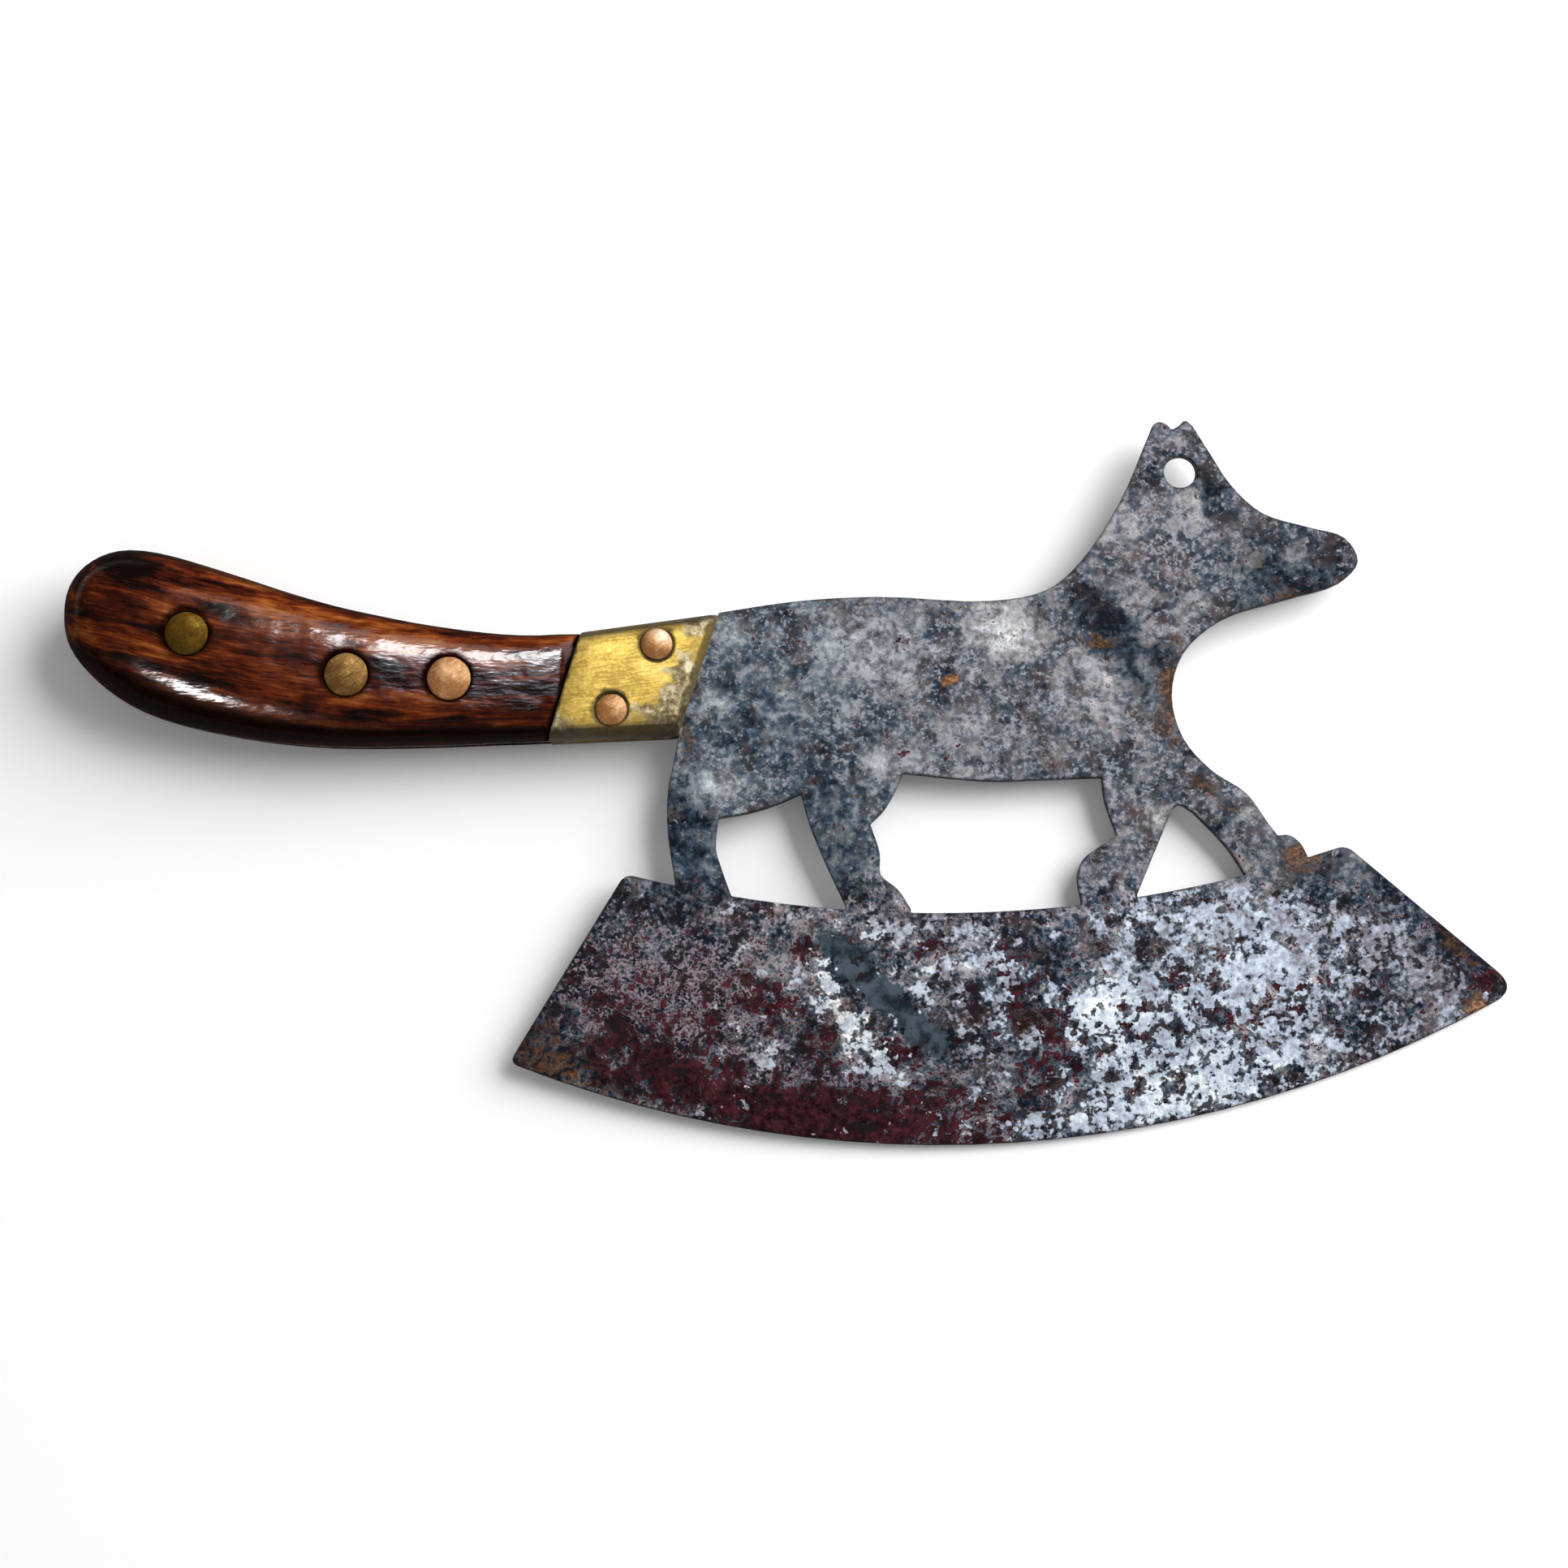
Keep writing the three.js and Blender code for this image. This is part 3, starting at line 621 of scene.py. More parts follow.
def old_steel():
    material, tree, where = new_finish("old_steel")
    stirred = warped(tree, where, 5, 2.4)
    clouds = noise(tree, stirred, 12, 3.0, 0.6)
    clumps = noise(tree, stirred, 4.2, 3.0, 0.6)
    grains = noise(tree, where, 1.3, 2.0, 0.5)
    elsewhere = shifted(tree, where, DUST_SHIFT)
    dust = noise(tree, elsewhere, 0.6, 1.0, 0.5)
    speckle_place = shifted(tree, warped(tree, where, 2.2, 0.8), SPECKLE_SHIFT)
    speckle = noise(tree, speckle_place, 4.2, 3.0, 0.6)
    parts = put(tree, "ShaderNodeSeparateXYZ", {0: stirred}).outputs
    on_blade = span(tree, parts[1], FEET_Y * MM, BLADE_Y * MM)
    forward = span(tree, parts[0], REAR_X * MM, FRONT_X * MM)
    pale = patches(tree, stirred, PALE_STAINS)
    dark = patches(tree, stirred, DARK_STAINS)
    maroon_field = patches(tree, stirred, MAROON_STAINS)
    lightening = calc(tree, "MULTIPLY", pale, span(tree, on_blade, 0.0, 1.0, 0.9, 0.4))
    fine = total(tree, -0.8, grains, scaled(tree, dust, 0.6))
    blade_grain = calc(tree, "MULTIPLY", fine, scaled(tree, on_blade, 0.8))
    mottle_level = total(tree, scaled(tree, clumps, 0.3), scaled(tree, grains, 0.8))
    mottles = span(tree, mottle_level, 0.47, 0.63)
    tone = total(
        tree, -0.905,
        scaled(tree, clouds, 1.05), scaled(tree, clumps, 1.0),
        scaled(tree, grains, 0.4), scaled(tree, dust, 0.2), scaled(tree, mottles, 0.09),
        lightening, scaled(tree, dark, -1.0), scaled(tree, on_blade, -0.07), blade_grain,
    )
    body = ramp(tree, tone, STEEL_TONES)
    earth = noise(tree, shifted(tree, stirred, EARTH_SHIFT), 6, 3.0, 0.6)
    earthy = span(tree, earth, 0.48, 0.64, 0.0, 0.6)
    brown = calc(tree, "SUBTRACT", earthy, scaled(tree, dark, 1.6), clamp=True)
    browned = blend(tree, brown, body, BROWN_FILM)
    sandy = span(tree, earth, 0.45, 0.36)
    tan_share = calc(tree, "MULTIPLY", sandy, span(tree, on_blade, 0.0, 1.0, 0.3, 0.12))
    tanned = blend(tree, tan_share, browned, TAN_FILM)
    fox_tint = blend(tree, forward, *FOX_TINTS)
    blade_tint = blend(tree, forward, *BLADE_TINTS)
    weathered = tinted(tree, tanned, blend(tree, on_blade, fox_tint, blade_tint))
    bloom_level = total(
        tree, -1.3,
        scaled(tree, dust, 1.4), scaled(tree, grains, 1.8), scaled(tree, speckle, 0.4),
        patches(tree, stirred, BLOOMS), scaled(tree, dark, -1.0),
    )
    powder = blend(tree, span(tree, dust, 0.36, 0.64), POWDER_DARK, POWDER_PALE)
    bloom_colour = blend(tree, on_blade, FOX_BLOOM, powder)
    bloomed = blend(tree, span(tree, bloom_level, 0.60, 0.80, 0.0, 0.9), weathered, bloom_colour)
    blots = noise(tree, shifted(tree, stirred, BLOT_SHIFT), 3.0, 3.0, 0.6)
    maroon_level = total(
        tree, -1.95,
        scaled(tree, blots, 1.9), scaled(tree, grains, 1.7), scaled(tree, dust, 0.9),
        scaled(tree, maroon_field, 1.5), scaled(tree, on_blade, 0.15),
    )
    maroon = span(tree, maroon_level, 0.70, 0.88)
    maroon_tone = total(tree, scaled(tree, grains, 0.5), scaled(tree, clumps, 0.5))
    maroon_colour = ramp(tree, maroon_tone, MAROON_TONES)
    stained = blend(tree, scaled(tree, maroon, 0.96), bloomed, maroon_colour)
    scrape_level = total(
        tree, -0.6,
        patches(tree, stirred, SCRAPES), scaled(tree, clumps, 0.6), scaled(tree, grains, 0.6),
    )
    slate = blend(tree, span(tree, clumps, 0.35, 0.65), SLATE_DARK, SLATE_PALE)
    scraped = blend(tree, span(tree, scrape_level, 0.42, 0.47), stained, slate)
    flake_level = total(
        tree, -0.88,
        scaled(tree, speckle, 1.9), scaled(tree, grains, 0.65), scaled(tree, dust, 0.2),
        pale, scaled(tree, dark, -1.5), scaled(tree, maroon_field, -0.28),
    )
    flaked = span(tree, flake_level, 0.655, 0.72)
    flake = calc(tree, "MULTIPLY", flaked, span(tree, on_blade, 0.0, 1.0, 0.15, 0.97))
    flake_tone = total(
        tree, -0.82,
        scaled(tree, pale, 0.45), scaled(tree, clumps, 0.9),
        scaled(tree, grains, 0.8), scaled(tree, dust, 0.35),
        patches(tree, stirred, WHITE_FLAKES),
    )
    flake_colour = ramp(tree, flake_tone, FLAKE_TONES)
    flake_tint = blend(tree, forward, *FLAKE_TINTS)
    frosted = blend(tree, flake, scraped, tinted(tree, flake_colour, flake_tint))
    pit_level = total(tree, noise(tree, elsewhere, 2.7, 4.0, 0.62), scaled(tree, clouds, -0.3))
    pits = span(tree, pit_level, 0.415, 0.465)
    pit_share = calc(tree, "MULTIPLY", pits, span(tree, on_blade, 0.0, 1.0, 0.5, 0.92))
    pitted = blend(tree, pit_share, frosted, PIT_BLACK)
    rust_field = patches(tree, stirred, RUST_STAINS)
    rust_level = total(
        tree, -0.6,
        scaled(tree, earth, 1.1), scaled(tree, grains, 1.1), scaled(tree, rust_field, 1.6),
    )
    rust = span(tree, rust_level, 0.70, 0.95)
    rust_tone = total(tree, -0.5, dust, scaled(tree, grains, 0.5), rust_field)
    rust_colour = ramp(tree, rust_tone, RUST_TONES)
    rusted = blend(tree, scaled(tree, rust, 0.8), pitted, rust_colour)
    rim = calc(tree, "MAXIMUM", edge_mask(tree, 1.1, 0.015, 0.11), steep_mask(tree, 0.95, 0.8))
    rim_share = calc(tree, "MULTIPLY", rim, span(tree, clumps, 0.3, 0.6, 0.5, 0.95))
    colour = blend(tree, rim_share, rusted, EDGE_BLACK)
    flakes_raised = span(tree, speckle, 0.5, 0.58, 0.0, 0.25)
    rough = noise(tree, where, 1.6, 4.0, 0.7)
    height = total(tree, rough, scaled(tree, pits, -0.35), flakes_raised)
    shade(
        tree, Base_Color=colour,
        Metallic=span(tree, rust, 0.0, 1.0, 0.2, 0.0),
        Roughness=span(tree, tone, 0.2, 0.9, 0.5, 0.66),
        Specular_IOR_Level=0.05,
        Normal=bump(tree, height, 0.4, 0.3),
    )
    return material


# Varnished wood
WOOD_PALE = {
    "upper side": (-118, 36, 24, 6, -22, 0.12),
    "upper middle": (-80, 26, 22, 5, -10, 0.1),
    "butt face": (-136, 27, 9, 9, 0, 0.05),
}
WOOD_DARK = {
    "butt corner": (-144, 40, 10, 7, -40, 0.5),
    "butt middle": (-138, 32, 8, 6, 0, 0.26),
    "behind butt rivet": (-116, 28, 10, 2.4, -8, 0.22),
    "lower side": (-95, 11, 40, 5, 0, 0.06),
    "bolster end": (-50, 18, 8, 10, 15, 0.14),
}
TIMBER_TONES = (
    (0.22, (0.004, 0.0009, 0.0006)),
    (0.42, (0.044, 0.0060, 0.0016)),
    (0.58, (0.122, 0.021, 0.0040)),
    (0.76, (0.235, 0.060, 0.0100)),
    (0.95, (0.35, 0.130, 0.034)),
)
# Near black, for grime and for painted shade on the grip's lower side and flanks
WOOD_GRIME_AND_SHADE = (0.004, 0.0015, 0.001, 1)

# The grain follows the grip's curve, which rises with the square of the way from this x in millimetres
CURVE_START = -62
CURVE_RISE = 1.7


def rivet_rims(nodes, widening):
    """Round stains about rivets, a little wider than their heads"""
    rims = {}
    for node in nodes:
        centre = middle_of(node) / MM
        reach = rivet_sizes(node)[1] + widening
        rims[node] = (centre.x, centre.y, reach, reach, 0, 1)
    return rims


def plane_reach(tree, where, point, direction):
    """Distance from a plane of the drawing, in millimetres"""
    facing = sheet_turn @ direction
    away = vector(tree, "DOT_PRODUCT", {0: where, 1: facing / MM}).outputs["Value"]
    return calc(tree, "SUBTRACT", away, (drawing_place @ (point * MM)).dot(facing) / MM)


def varnished_wood():
    material, tree, where = new_finish("varnished_wood")
    x, y, z = put(tree, "ShaderNodeSeparateXYZ", {0: where}).outputs
    back = calc(tree, "ADD", x, -CURVE_START * MM)
    rise = scaled(tree, calc(tree, "MULTIPLY", back, back), CURVE_RISE)
    level = calc(tree, "SUBTRACT", y, rise)
    grain_place = put(tree, "ShaderNodeCombineXYZ", {0: x, 1: level, 2: z}).outputs[0]
    wavy = warped(tree, grain_place, 16, 1.6)
    bands = noise(tree, stretched(tree, wavy, 9), 5, 3.0, 0.6)
    streaks = noise(tree, stretched(tree, wavy, 11), 1.6, 4.0, 0.7)
    fibres = noise(tree, stretched(tree, grain_place, 12), 0.5, 2.0, 0.6)
    figure = noise(tree, wavy, 8, 4.0, 0.65)
    tone = total(
        tree, -1.24,
        scaled(tree, bands, 1.1), scaled(tree, streaks, 1.2),
        scaled(tree, fibres, 0.5), scaled(tree, figure, 0.7),
        patches(tree, wavy, WOOD_PALE), scaled(tree, patches(tree, wavy, WOOD_DARK), -1.0),
    )
    timber = ramp(tree, tone, TIMBER_TONES)
    # Painted shade, partly grime: the grip darkens on its lower side, towards the blade's edge, and on
    # its steep flanks; the rims round the rivets and the joint are dirt
    under = calc(tree, "MULTIPLY", lean_mask(tree, -0.18, -0.5), steep_mask(tree, 0.1, 0.4))
    underside = scaled(tree, under, 0.97)
    flanks = scaled(tree, steep_mask(tree, 0.85, 0.55), 0.82)
    shaded_sides = calc(tree, "MAXIMUM", underside, flanks)
    rims = patches(tree, warped(tree, where, 1.5, 0.5), rivet_rims(SCALE_RIVETS, 0.3), 1.3, 1.0)
    reach = plane_reach(tree, warped(tree, where, 2, 0.6), JOINT_BOTTOM, JOINT_FACING)
    joint = span(tree, reach, -1.3, -0.3)
    grime_and_shade = calc(tree, "MAXIMUM", calc(tree, "MAXIMUM", shaded_sides, scaled(tree, rims, 0.9)), joint)
    colour = blend(tree, grime_and_shade, timber, WOOD_GRIME_AND_SHADE)
    clean = calc(tree, "SUBTRACT", 1.0, calc(tree, "MAXIMUM", rims, joint))
    polish = span(tree, steep_mask(tree, 0.95, 0.80), 0.0, 1.0, 1.0, 0.06)
    varnish = calc(tree, "MULTIPLY", clean, polish)
    ripple = noise(tree, stretched(tree, where, 3), 1.2, 2.0, 0.5)
    sway = noise(tree, where, 7, 1.0, 0.5)
    skin = total(tree, scaled(tree, ripple, 0.4), scaled(tree, sway, 1.0))
    shade(
        tree, Base_Color=colour,
        Roughness=0.6, Specular_IOR_Level=0.0,
        Normal=bump(tree, fibres, 0.3, 0.1),
        Coat_Weight=varnish, Coat_Roughness=0.12,
        Coat_Normal=bump(tree, skin, 0.5, 0.3),
    )
    return material


# Rivet metals: dull, plain and bright tone, and the rim's colour and width in millimetres
WORN_COPPER = (
    (0.28, 0.12, 0.04), (0.51, 0.285, 0.13), (0.82, 0.63, 0.46), (0.03, 0.013, 0.007), 0.75,
)
BROWNED_COPPER = (
    (0.11, 0.055, 0.014), (0.27, 0.145, 0.042), (0.62, 0.47, 0.28), (0.02, 0.012, 0.006), 0.75,
)
OLIVE_BRASS = (
    (0.050, 0.026, 0.002), (0.12, 0.062, 0.004), (0.24, 0.16, 0.03), (0.012, 0.009, 0.004), 0.8,
)

# A painted highlight on each head, towards the upper right: its place and size as shares of the radius,
# its turn and strength
HIGHLIGHT_PLACE = (0.3, 0.35)
HIGHLIGHT_WIDTH = 0.8
HIGHLIGHT_TURN = -40
HIGHLIGHT_STRENGTHS = {
    "butt_rivet": 0.2,
    "middle_rivet": 0.2,
    "neck_rivet": 0.2,
    "upper_bolster_rivet": 0.44,
    "lower_bolster_rivet": 0.2,
}


def worn_metal(name, metal, nodes):
    """Clouds of three tones with scratches, a painted highlight and a dark rim"""
    dull, plain, bright, rim_colour, rim_width = metal
    material, tree, where = new_finish(name)
    stirred = warped(tree, where, 2.5, 0.9)
    clouds = noise(tree, stirred, 3.2, 4.0, 0.65)
    grains = noise(tree, where, 0.6, 2.0, 0.6)
    scratches = noise(tree, stretched(tree, where, 9, 35), 0.35, 2.0, 0.5)
    # Painted highlight: a pale patch on the upper right of each head
    head_highlights = {}
    for node in nodes:
        centre = middle_of(node) / MM
        radius = rivet_sizes(node)[1]
        x, y = centre.x + HIGHLIGHT_PLACE[0] * radius, centre.y + HIGHLIGHT_PLACE[1] * radius
        head_highlights[node] = (x, y, radius, radius * HIGHLIGHT_WIDTH, HIGHLIGHT_TURN, HIGHLIGHT_STRENGTHS[node])
    tone = total(
        tree, -0.46,
        scaled(tree, clouds, 0.8), scaled(tree, grains, 0.4), scaled(tree, scratches, 0.35),
        patches(tree, stirred, head_highlights),
    )
    body = ramp(tree, tone, ((0.3, dull), (0.55, plain), (0.85, bright)))
    rim = edge_mask(tree, rim_width, 0.02, 0.2)
    rim_share = calc(tree, "MULTIPLY", rim, span(tree, clouds, 0.25, 0.6, 0.5, 0.95))
    colour = blend(tree, rim_share, body, (*rim_colour, 1))
    shade(
        tree, Base_Color=colour, Metallic=0.35,
        Roughness=span(tree, tone, 0.2, 0.8, 0.5, 0.36), Specular_IOR_Level=0.08,
        Normal=bump(tree, total(tree, scratches, scaled(tree, grains, 0.6)), 0.3, 0.08),
    )
    return material


# Brass
BRASS_PATINA = {
    "front edge": (-20, 22, 3.5, 15, -18, 0.2),
    "lower front": (-25, 13, 8, 5, 20, 0.22),
    "lower back corner": (-47, 9.5, 6, 3.5, 0, 0.24),
    "upper front": (-16, 33, 8, 3, 8, 0.16),
    "upper edge": (-32, 31, 14, 1.2, 9, 0.1),
}
BRASS_TONES = (
    (0.22, (0.40, 0.26, 0.05)),
    (0.42, (0.62, 0.42, 0.085)),
    (0.62, (0.76, 0.55, 0.145)),
    (0.85, (0.88, 0.71, 0.31)),
)
PATINA_TONES = (
    (0.38, (0.05, 0.038, 0.020)),
    (0.48, (0.25, 0.20, 0.115)),
    (0.58, (0.50, 0.43, 0.27)),
    (0.70, (0.80, 0.73, 0.50)),
)
# Dark brown, for grime and for painted shade on the bolster's rounded edges
BRASS_GRIME_AND_SHADE = (0.028, 0.022, 0.010, 1)
PATINA_SHIFT = (0.2, 0.4, 0.1)


def old_brass():
    material, tree, where = new_finish("old_brass")
    stirred = warped(tree, where, 3, 1.2)
    clouds = noise(tree, stirred, 6, 4.0, 0.65)
    grains = noise(tree, where, 0.8, 3.0, 0.65)
    scratches = noise(tree, stretched(tree, where, 10, 8), 0.4, 2.0, 0.5)
    tone = total(
        tree, -0.85,
        scaled(tree, clouds, 1.1), scaled(tree, grains, 0.8), scaled(tree, scratches, 0.6),
    )
    body = ramp(tree, tone, BRASS_TONES)
    blots = noise(tree, shifted(tree, stirred, PATINA_SHIFT), 2.6, 3.0, 0.55)
    patina_level = total(
        tree, patches(tree, stirred, BRASS_PATINA),
        scaled(tree, clouds, 0.55), scaled(tree, blots, 0.3), scaled(tree, grains, 0.15),
    )
    patina = span(tree, patina_level, 0.58, 0.70)
    patina_tone = total(tree, -0.2, blots, scaled(tree, grains, 0.4))
    patina_colour = ramp(tree, patina_tone, PATINA_TONES)
    patined = blend(tree, scaled(tree, patina, 0.9), body, patina_colour)
    rims = patches(tree, stirred, rivet_rims(BOLSTER_RIVETS, 0.2), 1.3, 1.0)
    back = plane_reach(tree, warped(tree, where, 2, 0.7), JOINT_BOTTOM, JOINT_FACING)
    front = plane_reach(tree, warped(tree, where, 3, 0.5), FRONT_BOTTOM, FRONT_FACING)
    back_grime = span(tree, back, 0.9, 0.2)
    front_grime = span(tree, front, -1.7, -0.9, 0.0, 0.85)
    ends = calc(tree, "MAXIMUM", back_grime, front_grime)
    ends_and_rims = calc(tree, "MAXIMUM", ends, scaled(tree, rims, 0.85))
    # Painted shade, partly grime: the rounded upper and lower edges darken by which way they face; the
    # ends and the rivet rims are grime
    shaded_sides = calc(tree, "MAXIMUM", lean_mask(tree, -0.15, -0.5), lean_mask(tree, 0.2, 0.55))
    grime_and_shade = calc(tree, "MAXIMUM", ends_and_rims, shaded_sides)
    colour = blend(tree, scaled(tree, grime_and_shade, 0.93), patined, BRASS_GRIME_AND_SHADE)
    dull = calc(tree, "MAXIMUM", patina, grime_and_shade)
    shade(
        tree, Base_Color=colour,
        Metallic=span(tree, dull, 0.0, 1.0, 0.45, 0.1),
        Roughness=span(tree, dull, 0.0, 1.0, 0.38, 0.62), Specular_IOR_Level=0.2,
        Normal=bump(tree, total(tree, scratches, scaled(tree, grains, 0.8)), 0.35, 0.12),
    )
    return material


# Pieces

def steel_fox():
    """The sheet with fox, blade and tang, with its sawn edges softened"""
    mesh = frame["nodes"]["blade_plate"].data.copy()
    piece = bpy.data.objects.new("steel_fox", mesh)
    bpy.context.scene.collection.objects.link(piece)
    edit(piece)
    bpy.ops.mesh.remove_doubles(threshold=SEAM * MM)
    bpy.ops.mesh.dissolve_limited(angle_limit=math.radians(FLAT))
    done()
    soften(piece, EDGE_SOFTENING, SHEET_ANGLES[0])
    smooth(piece, SHEET_ANGLES[1])
    dress(piece, "blade_plate", old_steel())


def wooden_scales():
    blank = bar("front_wood", GRIP_STATIONS)
    apply(blank, "SUBSURF", levels=1, render_levels=1)
    dent(blank, "whittling", *WHITTLING)
    saw(blank, (JOINT_BOTTOM - JOINT_FACING * JOINT_GAP) * MM, JOINT_FACING)
    rear = copy_of(blank, "rear_wood")
    wood = varnished_wood()
    for piece, side, node in ((blank, 1, "front_scale"), (rear, -1, "rear_scale")):
        saw(piece, (0, 0, side * SEAT * MM), (0, 0, -side))
        soften(piece, WOOD_EDGE, HANDLE_ANGLES[0])
        drill(piece, SCALE_RIVETS)
        smooth(piece, HANDLE_ANGLES[1])
        hand_over(piece, node, wood)


def brass_cheeks():
    blank = bar("front_brass", BOLSTER_STATIONS)
    saw(blank, (JOINT_BOTTOM + JOINT_FACING * JOINT_GAP) * MM, -JOINT_FACING)
    saw(blank, FRONT_BOTTOM * MM, FRONT_FACING)
    rear = copy_of(blank, "rear_brass")
    brass = old_brass()
    for piece, side, node in ((blank, 1, "front_bolster"), (rear, -1, "rear_bolster")):
        saw(piece, (0, 0, side * SEAT * MM), (0, 0, -side))
        edit(piece)
        bpy.ops.mesh.select_all(action="DESELECT")
        mesh = bmesh.from_edit_mesh(piece.data)
        for edge in mesh.edges:
            ends = [(vertex.co / MM - FRONT_BOTTOM).dot(FRONT_FACING) for vertex in edge.verts]
            high = all(abs(vertex.co.z) > (SEAT + CHAMFER_START) * MM for vertex in edge.verts)
            edge.select_set(high and all(abs(end) < ON_PLANE for end in ends))
        bmesh.update_edit_mesh(piece.data)
        bpy.ops.mesh.bevel(offset=BOLSTER_CHAMFER * MM, segments=2, affect="EDGES")
        done()
        weld(piece)
        soften(piece, BRASS_EDGE, HANDLE_ANGLES[0])
        weld(piece)
        drill(piece, BOLSTER_RIVETS)
        smooth(piece, HANDLE_ANGLES[1])
        hand_over(piece, node, brass)


def rivet(node, name, finish):
    """A rivet with a shank and two low hammered heads"""
    centre, radius, half = rivet_sizes(node)
    rim = half - HEAD_DOME
    profile = [(0, half)]
    profile += [(radius * share, half - HEAD_DOME * share ** DOME_POWER) for share in DOME_SHARES]
    profile += [(radius * share, rim - depth) for share, depth in RIM_ROUNDING]
    profile += [(radius, rim - HEAD_DEPTH), (radius * SHANK_SHARE, rim - HEAD_DEPTH)]
    piece = turned(name, both_sides(profile), centre)
    dent(piece, name + "_hammering", *HAMMERING)
    smooth(piece, RIVET_SMOOTHING)
    hand_over(piece, node, finish)


def rivets():
    pale_rivets = ("neck_rivet", "upper_bolster_rivet", "lower_bolster_rivet")
    copper = worn_metal("worn_copper", WORN_COPPER, pale_rivets)
    browned = worn_metal("browned_copper", BROWNED_COPPER, ["middle_rivet"])
    olive = worn_metal("olive_brass", OLIVE_BRASS, ["butt_rivet"])
    rivet("butt_rivet", "butt_rivet_brass", olive)
    rivet("middle_rivet", "middle_rivet_copper", browned)
    rivet("neck_rivet", "neck_rivet_copper", copper)
    rivet("upper_bolster_rivet", "upper_rivet_copper", copper)
    rivet("lower_bolster_rivet", "lower_rivet_copper", copper)


# Camera, at the photograph's angle
CAMERA_TARGET = Vector((18.35, -23.6, 0))
CAMERA_DISTANCE = 600
CAMERA_LEAN = math.radians(7)
VIEW_WIDTH = 336.2
SENSOR = 36


def camera():
    data = bpy.data.cameras.new("camera")
    data.sensor_width = SENSOR
    data.lens = SENSOR * CAMERA_DISTANCE / VIEW_WIDTH
    item = bpy.data.objects.new("camera", data)
    bpy.context.scene.collection.objects.link(item)
    lean = Matrix.Rotation(CAMERA_LEAN, 4, "X")
    item.matrix_world = (
        drawing_place @ Matrix.Translation(CAMERA_TARGET * MM) @ lean
        @ Matrix.Translation((0, 0, CAMERA_DISTANCE * MM))
    )
    bpy.context.scene.camera = item


# Studio: a white floor and world, soft light from the upper right, and panels that show only in mirrors,
# for the metals and the varnish. Places and sizes are in metres.
WHITE = (1, 1, 1, 1)
FLOOR_SIZE = 6
FLOOR_FADE = (0.24, 0.55)
FLOOR_LIFT = 0.06
FLOOR_COLOUR = (0.95, 0.95, 0.95, 1)
LIGHT_LEVEL = 0.28
CEILING_LEVEL = 0.05
CEILING_FADE = (0.15, 0.40)

# Lamps: place, aim, size and power in watts
KEY = ((1.453, 0.839, 1.089), (0, 0, 0), (1.8, 1.8), 77)
BROAD_PANEL = ((1.1, 0.86, 1.37), (0, 0, 0), (2.4, 2.4), 34)
TOP_STRIP = ((-0.068, 0.23, 0.68), (-0.05, 0.02, 0), (0.085, 0.14), 1.0)
LOW_STRIP = ((-0.325, -0.24, 0.64), (-0.12, 0.02, 0), (0.055, 0.11), 0.8)
SKY_PANEL = ((-0.085, 0.135, 0.65), (-0.04, 0.02, 0), (0.06, 0.12), 0.07)
SKY_BLUE = (0.72, 0.84, 1)


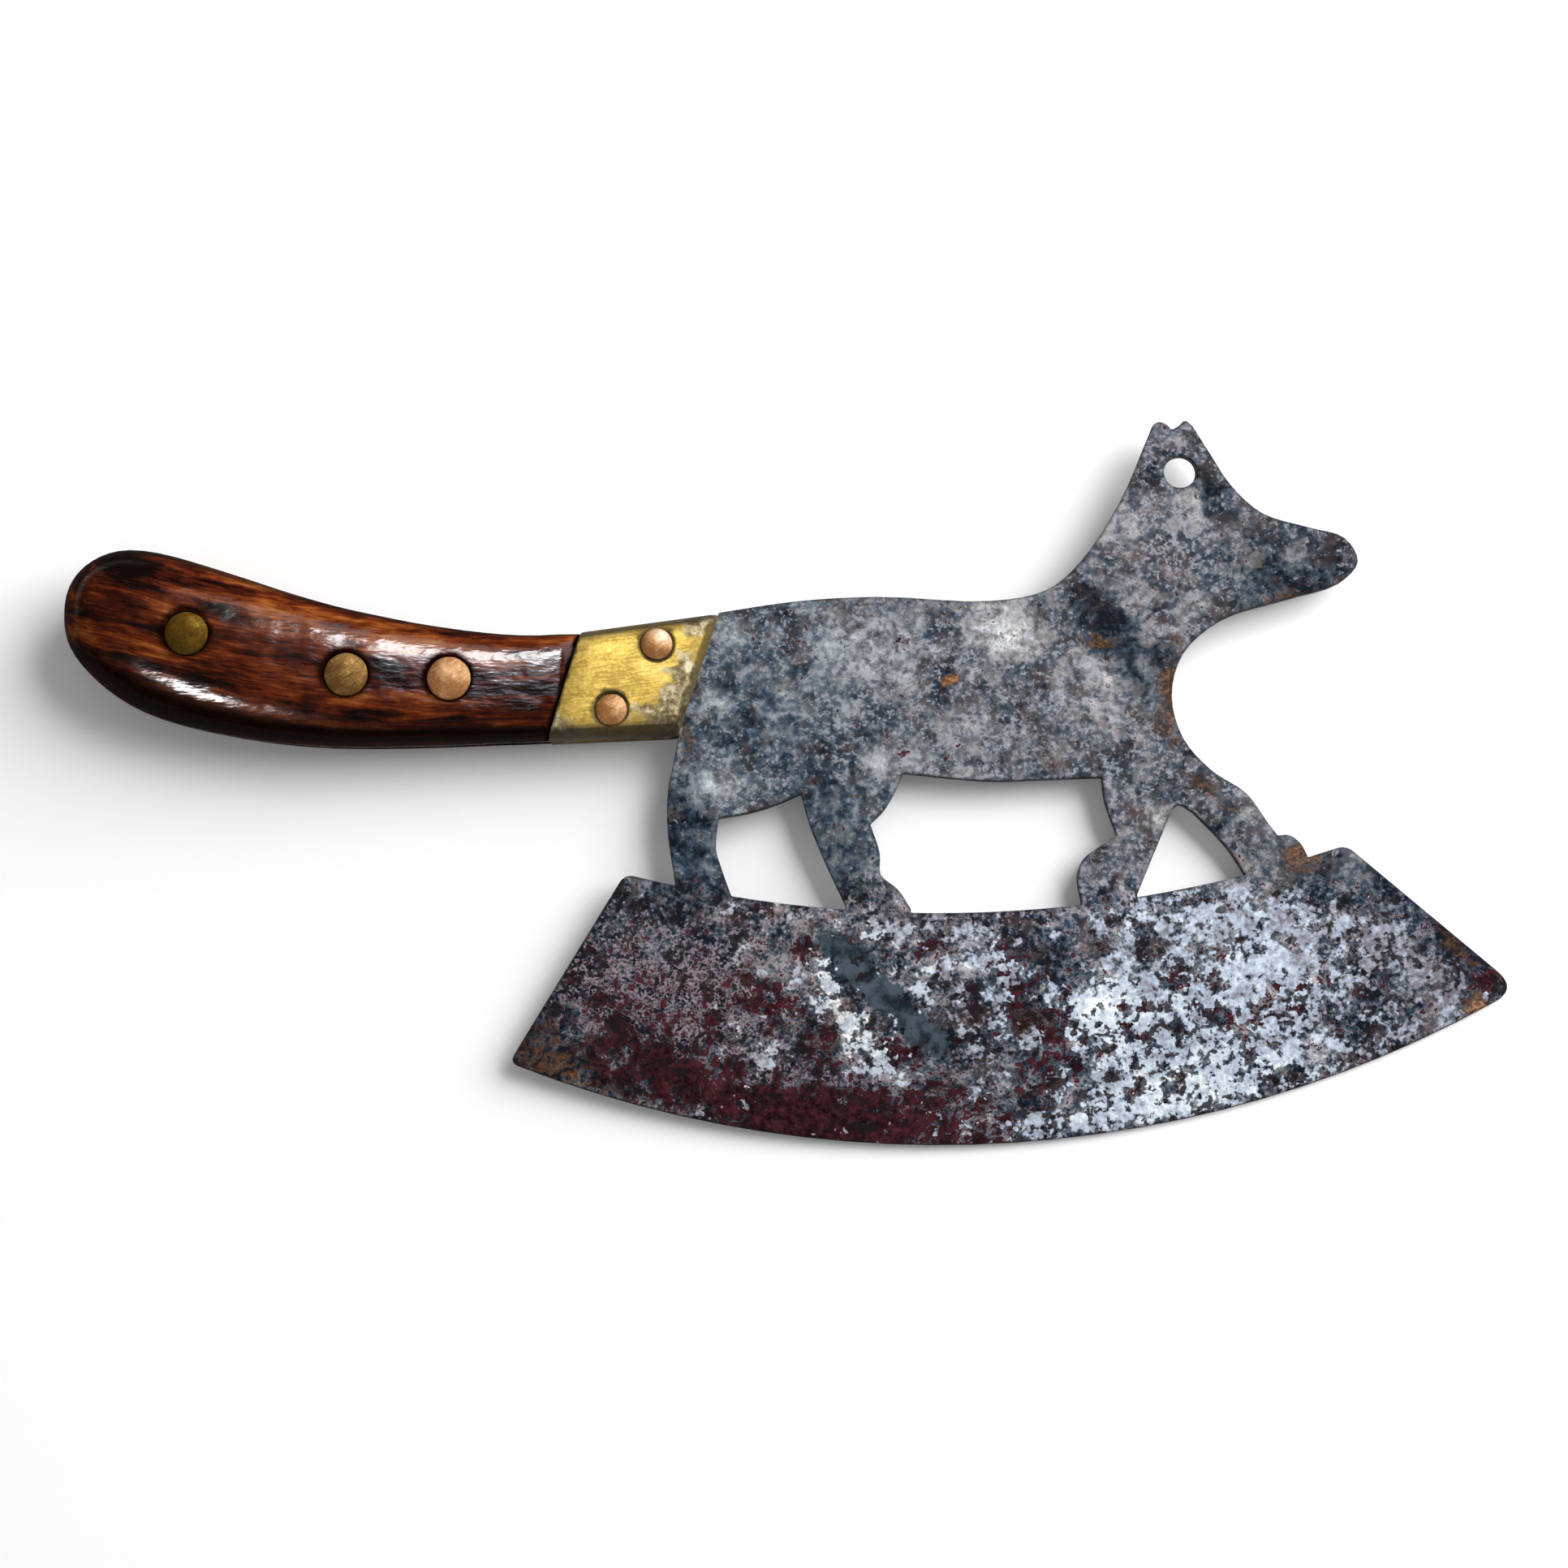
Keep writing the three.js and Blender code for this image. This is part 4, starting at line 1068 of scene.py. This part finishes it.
def white_floor():
    bpy.ops.object.select_all(action="DESELECT")
    bpy.ops.mesh.primitive_plane_add(size=FLOOR_SIZE)
    floor = bpy.context.object
    floor.name = "floor"
    material, tree, where = new_finish("white_floor")
    output = tree.nodes["Material Output"]
    tree.nodes.remove(tree.nodes["Principled BSDF"])
    path = put(tree, "ShaderNodeLightPath").outputs
    seen = calc(tree, "MAXIMUM", path["Is Camera Ray"], path["Is Glossy Ray"])
    seen = calc(tree, "MAXIMUM", seen, path["Is Transmission Ray"])
    away = vector(tree, "LENGTH", {0: where}).outputs["Value"]
    far = calc(tree, "MULTIPLY", seen, span(tree, away, *FLOOR_FADE))
    matt = put(tree, "ShaderNodeBsdfDiffuse", {"Color": FLOOR_COLOUR}).outputs[0]
    glow = {"Color": WHITE, "Strength": scaled(tree, seen, FLOOR_LIFT)}
    lift = put(tree, "ShaderNodeEmission", glow).outputs[0]
    near = put(tree, "ShaderNodeAddShader", {0: matt, 1: lift}).outputs[0]
    white = put(tree, "ShaderNodeEmission", {"Color": WHITE, "Strength": 1.0}).outputs[0]
    both = put(tree, "ShaderNodeMixShader", {0: far, 1: near, 2: white}).outputs[0]
    tree.links.new(both, output.inputs["Surface"])
    floor.data.materials.append(material)


def white_world():
    """White to the camera and glass, and in mirrors white round the horizon under a dark ceiling"""
    world = bpy.data.worlds.new("studio")
    bpy.context.scene.world = world
    world.use_nodes = True
    tree = world.node_tree
    path = put(tree, "ShaderNodeLightPath").outputs
    towards = put(tree, "ShaderNodeTexCoord").outputs["Generated"]
    height = put(tree, "ShaderNodeSeparateXYZ", {0: towards}).outputs[2]
    in_mirrors = span(tree, height, *CEILING_FADE, 1.0, CEILING_LEVEL)
    level = span(tree, path["Is Glossy Ray"], 0.0, 1.0, LIGHT_LEVEL, in_mirrors)
    seen = calc(tree, "MAXIMUM", path["Is Camera Ray"], path["Is Transmission Ray"])
    background = tree.nodes["Background"]
    background.inputs["Color"].default_value = WHITE
    tree.links.new(calc(tree, "MAXIMUM", seen, level), background.inputs["Strength"])


def lamp(name, place, aim, size, power, on_matt=True, in_mirrors=True, colour=(1, 1, 1)):
    """A panel that lights matt surfaces, shows in mirrors, or does both"""
    data = bpy.data.lights.new(name, "AREA")
    data.shape = "RECTANGLE"
    data.size, data.size_y = size
    data.energy = power
    item = bpy.data.objects.new(name, data)
    bpy.context.scene.collection.objects.link(item)
    item.location = place
    item.rotation_euler = (Vector(place) - Vector(aim)).to_track_quat("Z", "Y").to_euler()
    item.visible_diffuse = on_matt
    item.visible_glossy = in_mirrors
    data.color = colour


def studio():
    white_floor()
    white_world()
    lamp("key", *KEY, in_mirrors=False)
    lamp("broad_panel", *BROAD_PANEL, on_matt=False)
    lamp("top_strip", *TOP_STRIP, on_matt=False)
    lamp("low_strip", *LOW_STRIP, on_matt=False)
    lamp("sky_panel", *SKY_PANEL, on_matt=False, colour=SKY_BLUE)
    bpy.context.scene.view_settings.view_transform = "Standard"


camera()
steel_fox()
wooden_scales()
brass_cheeks()
rivets()
studio()
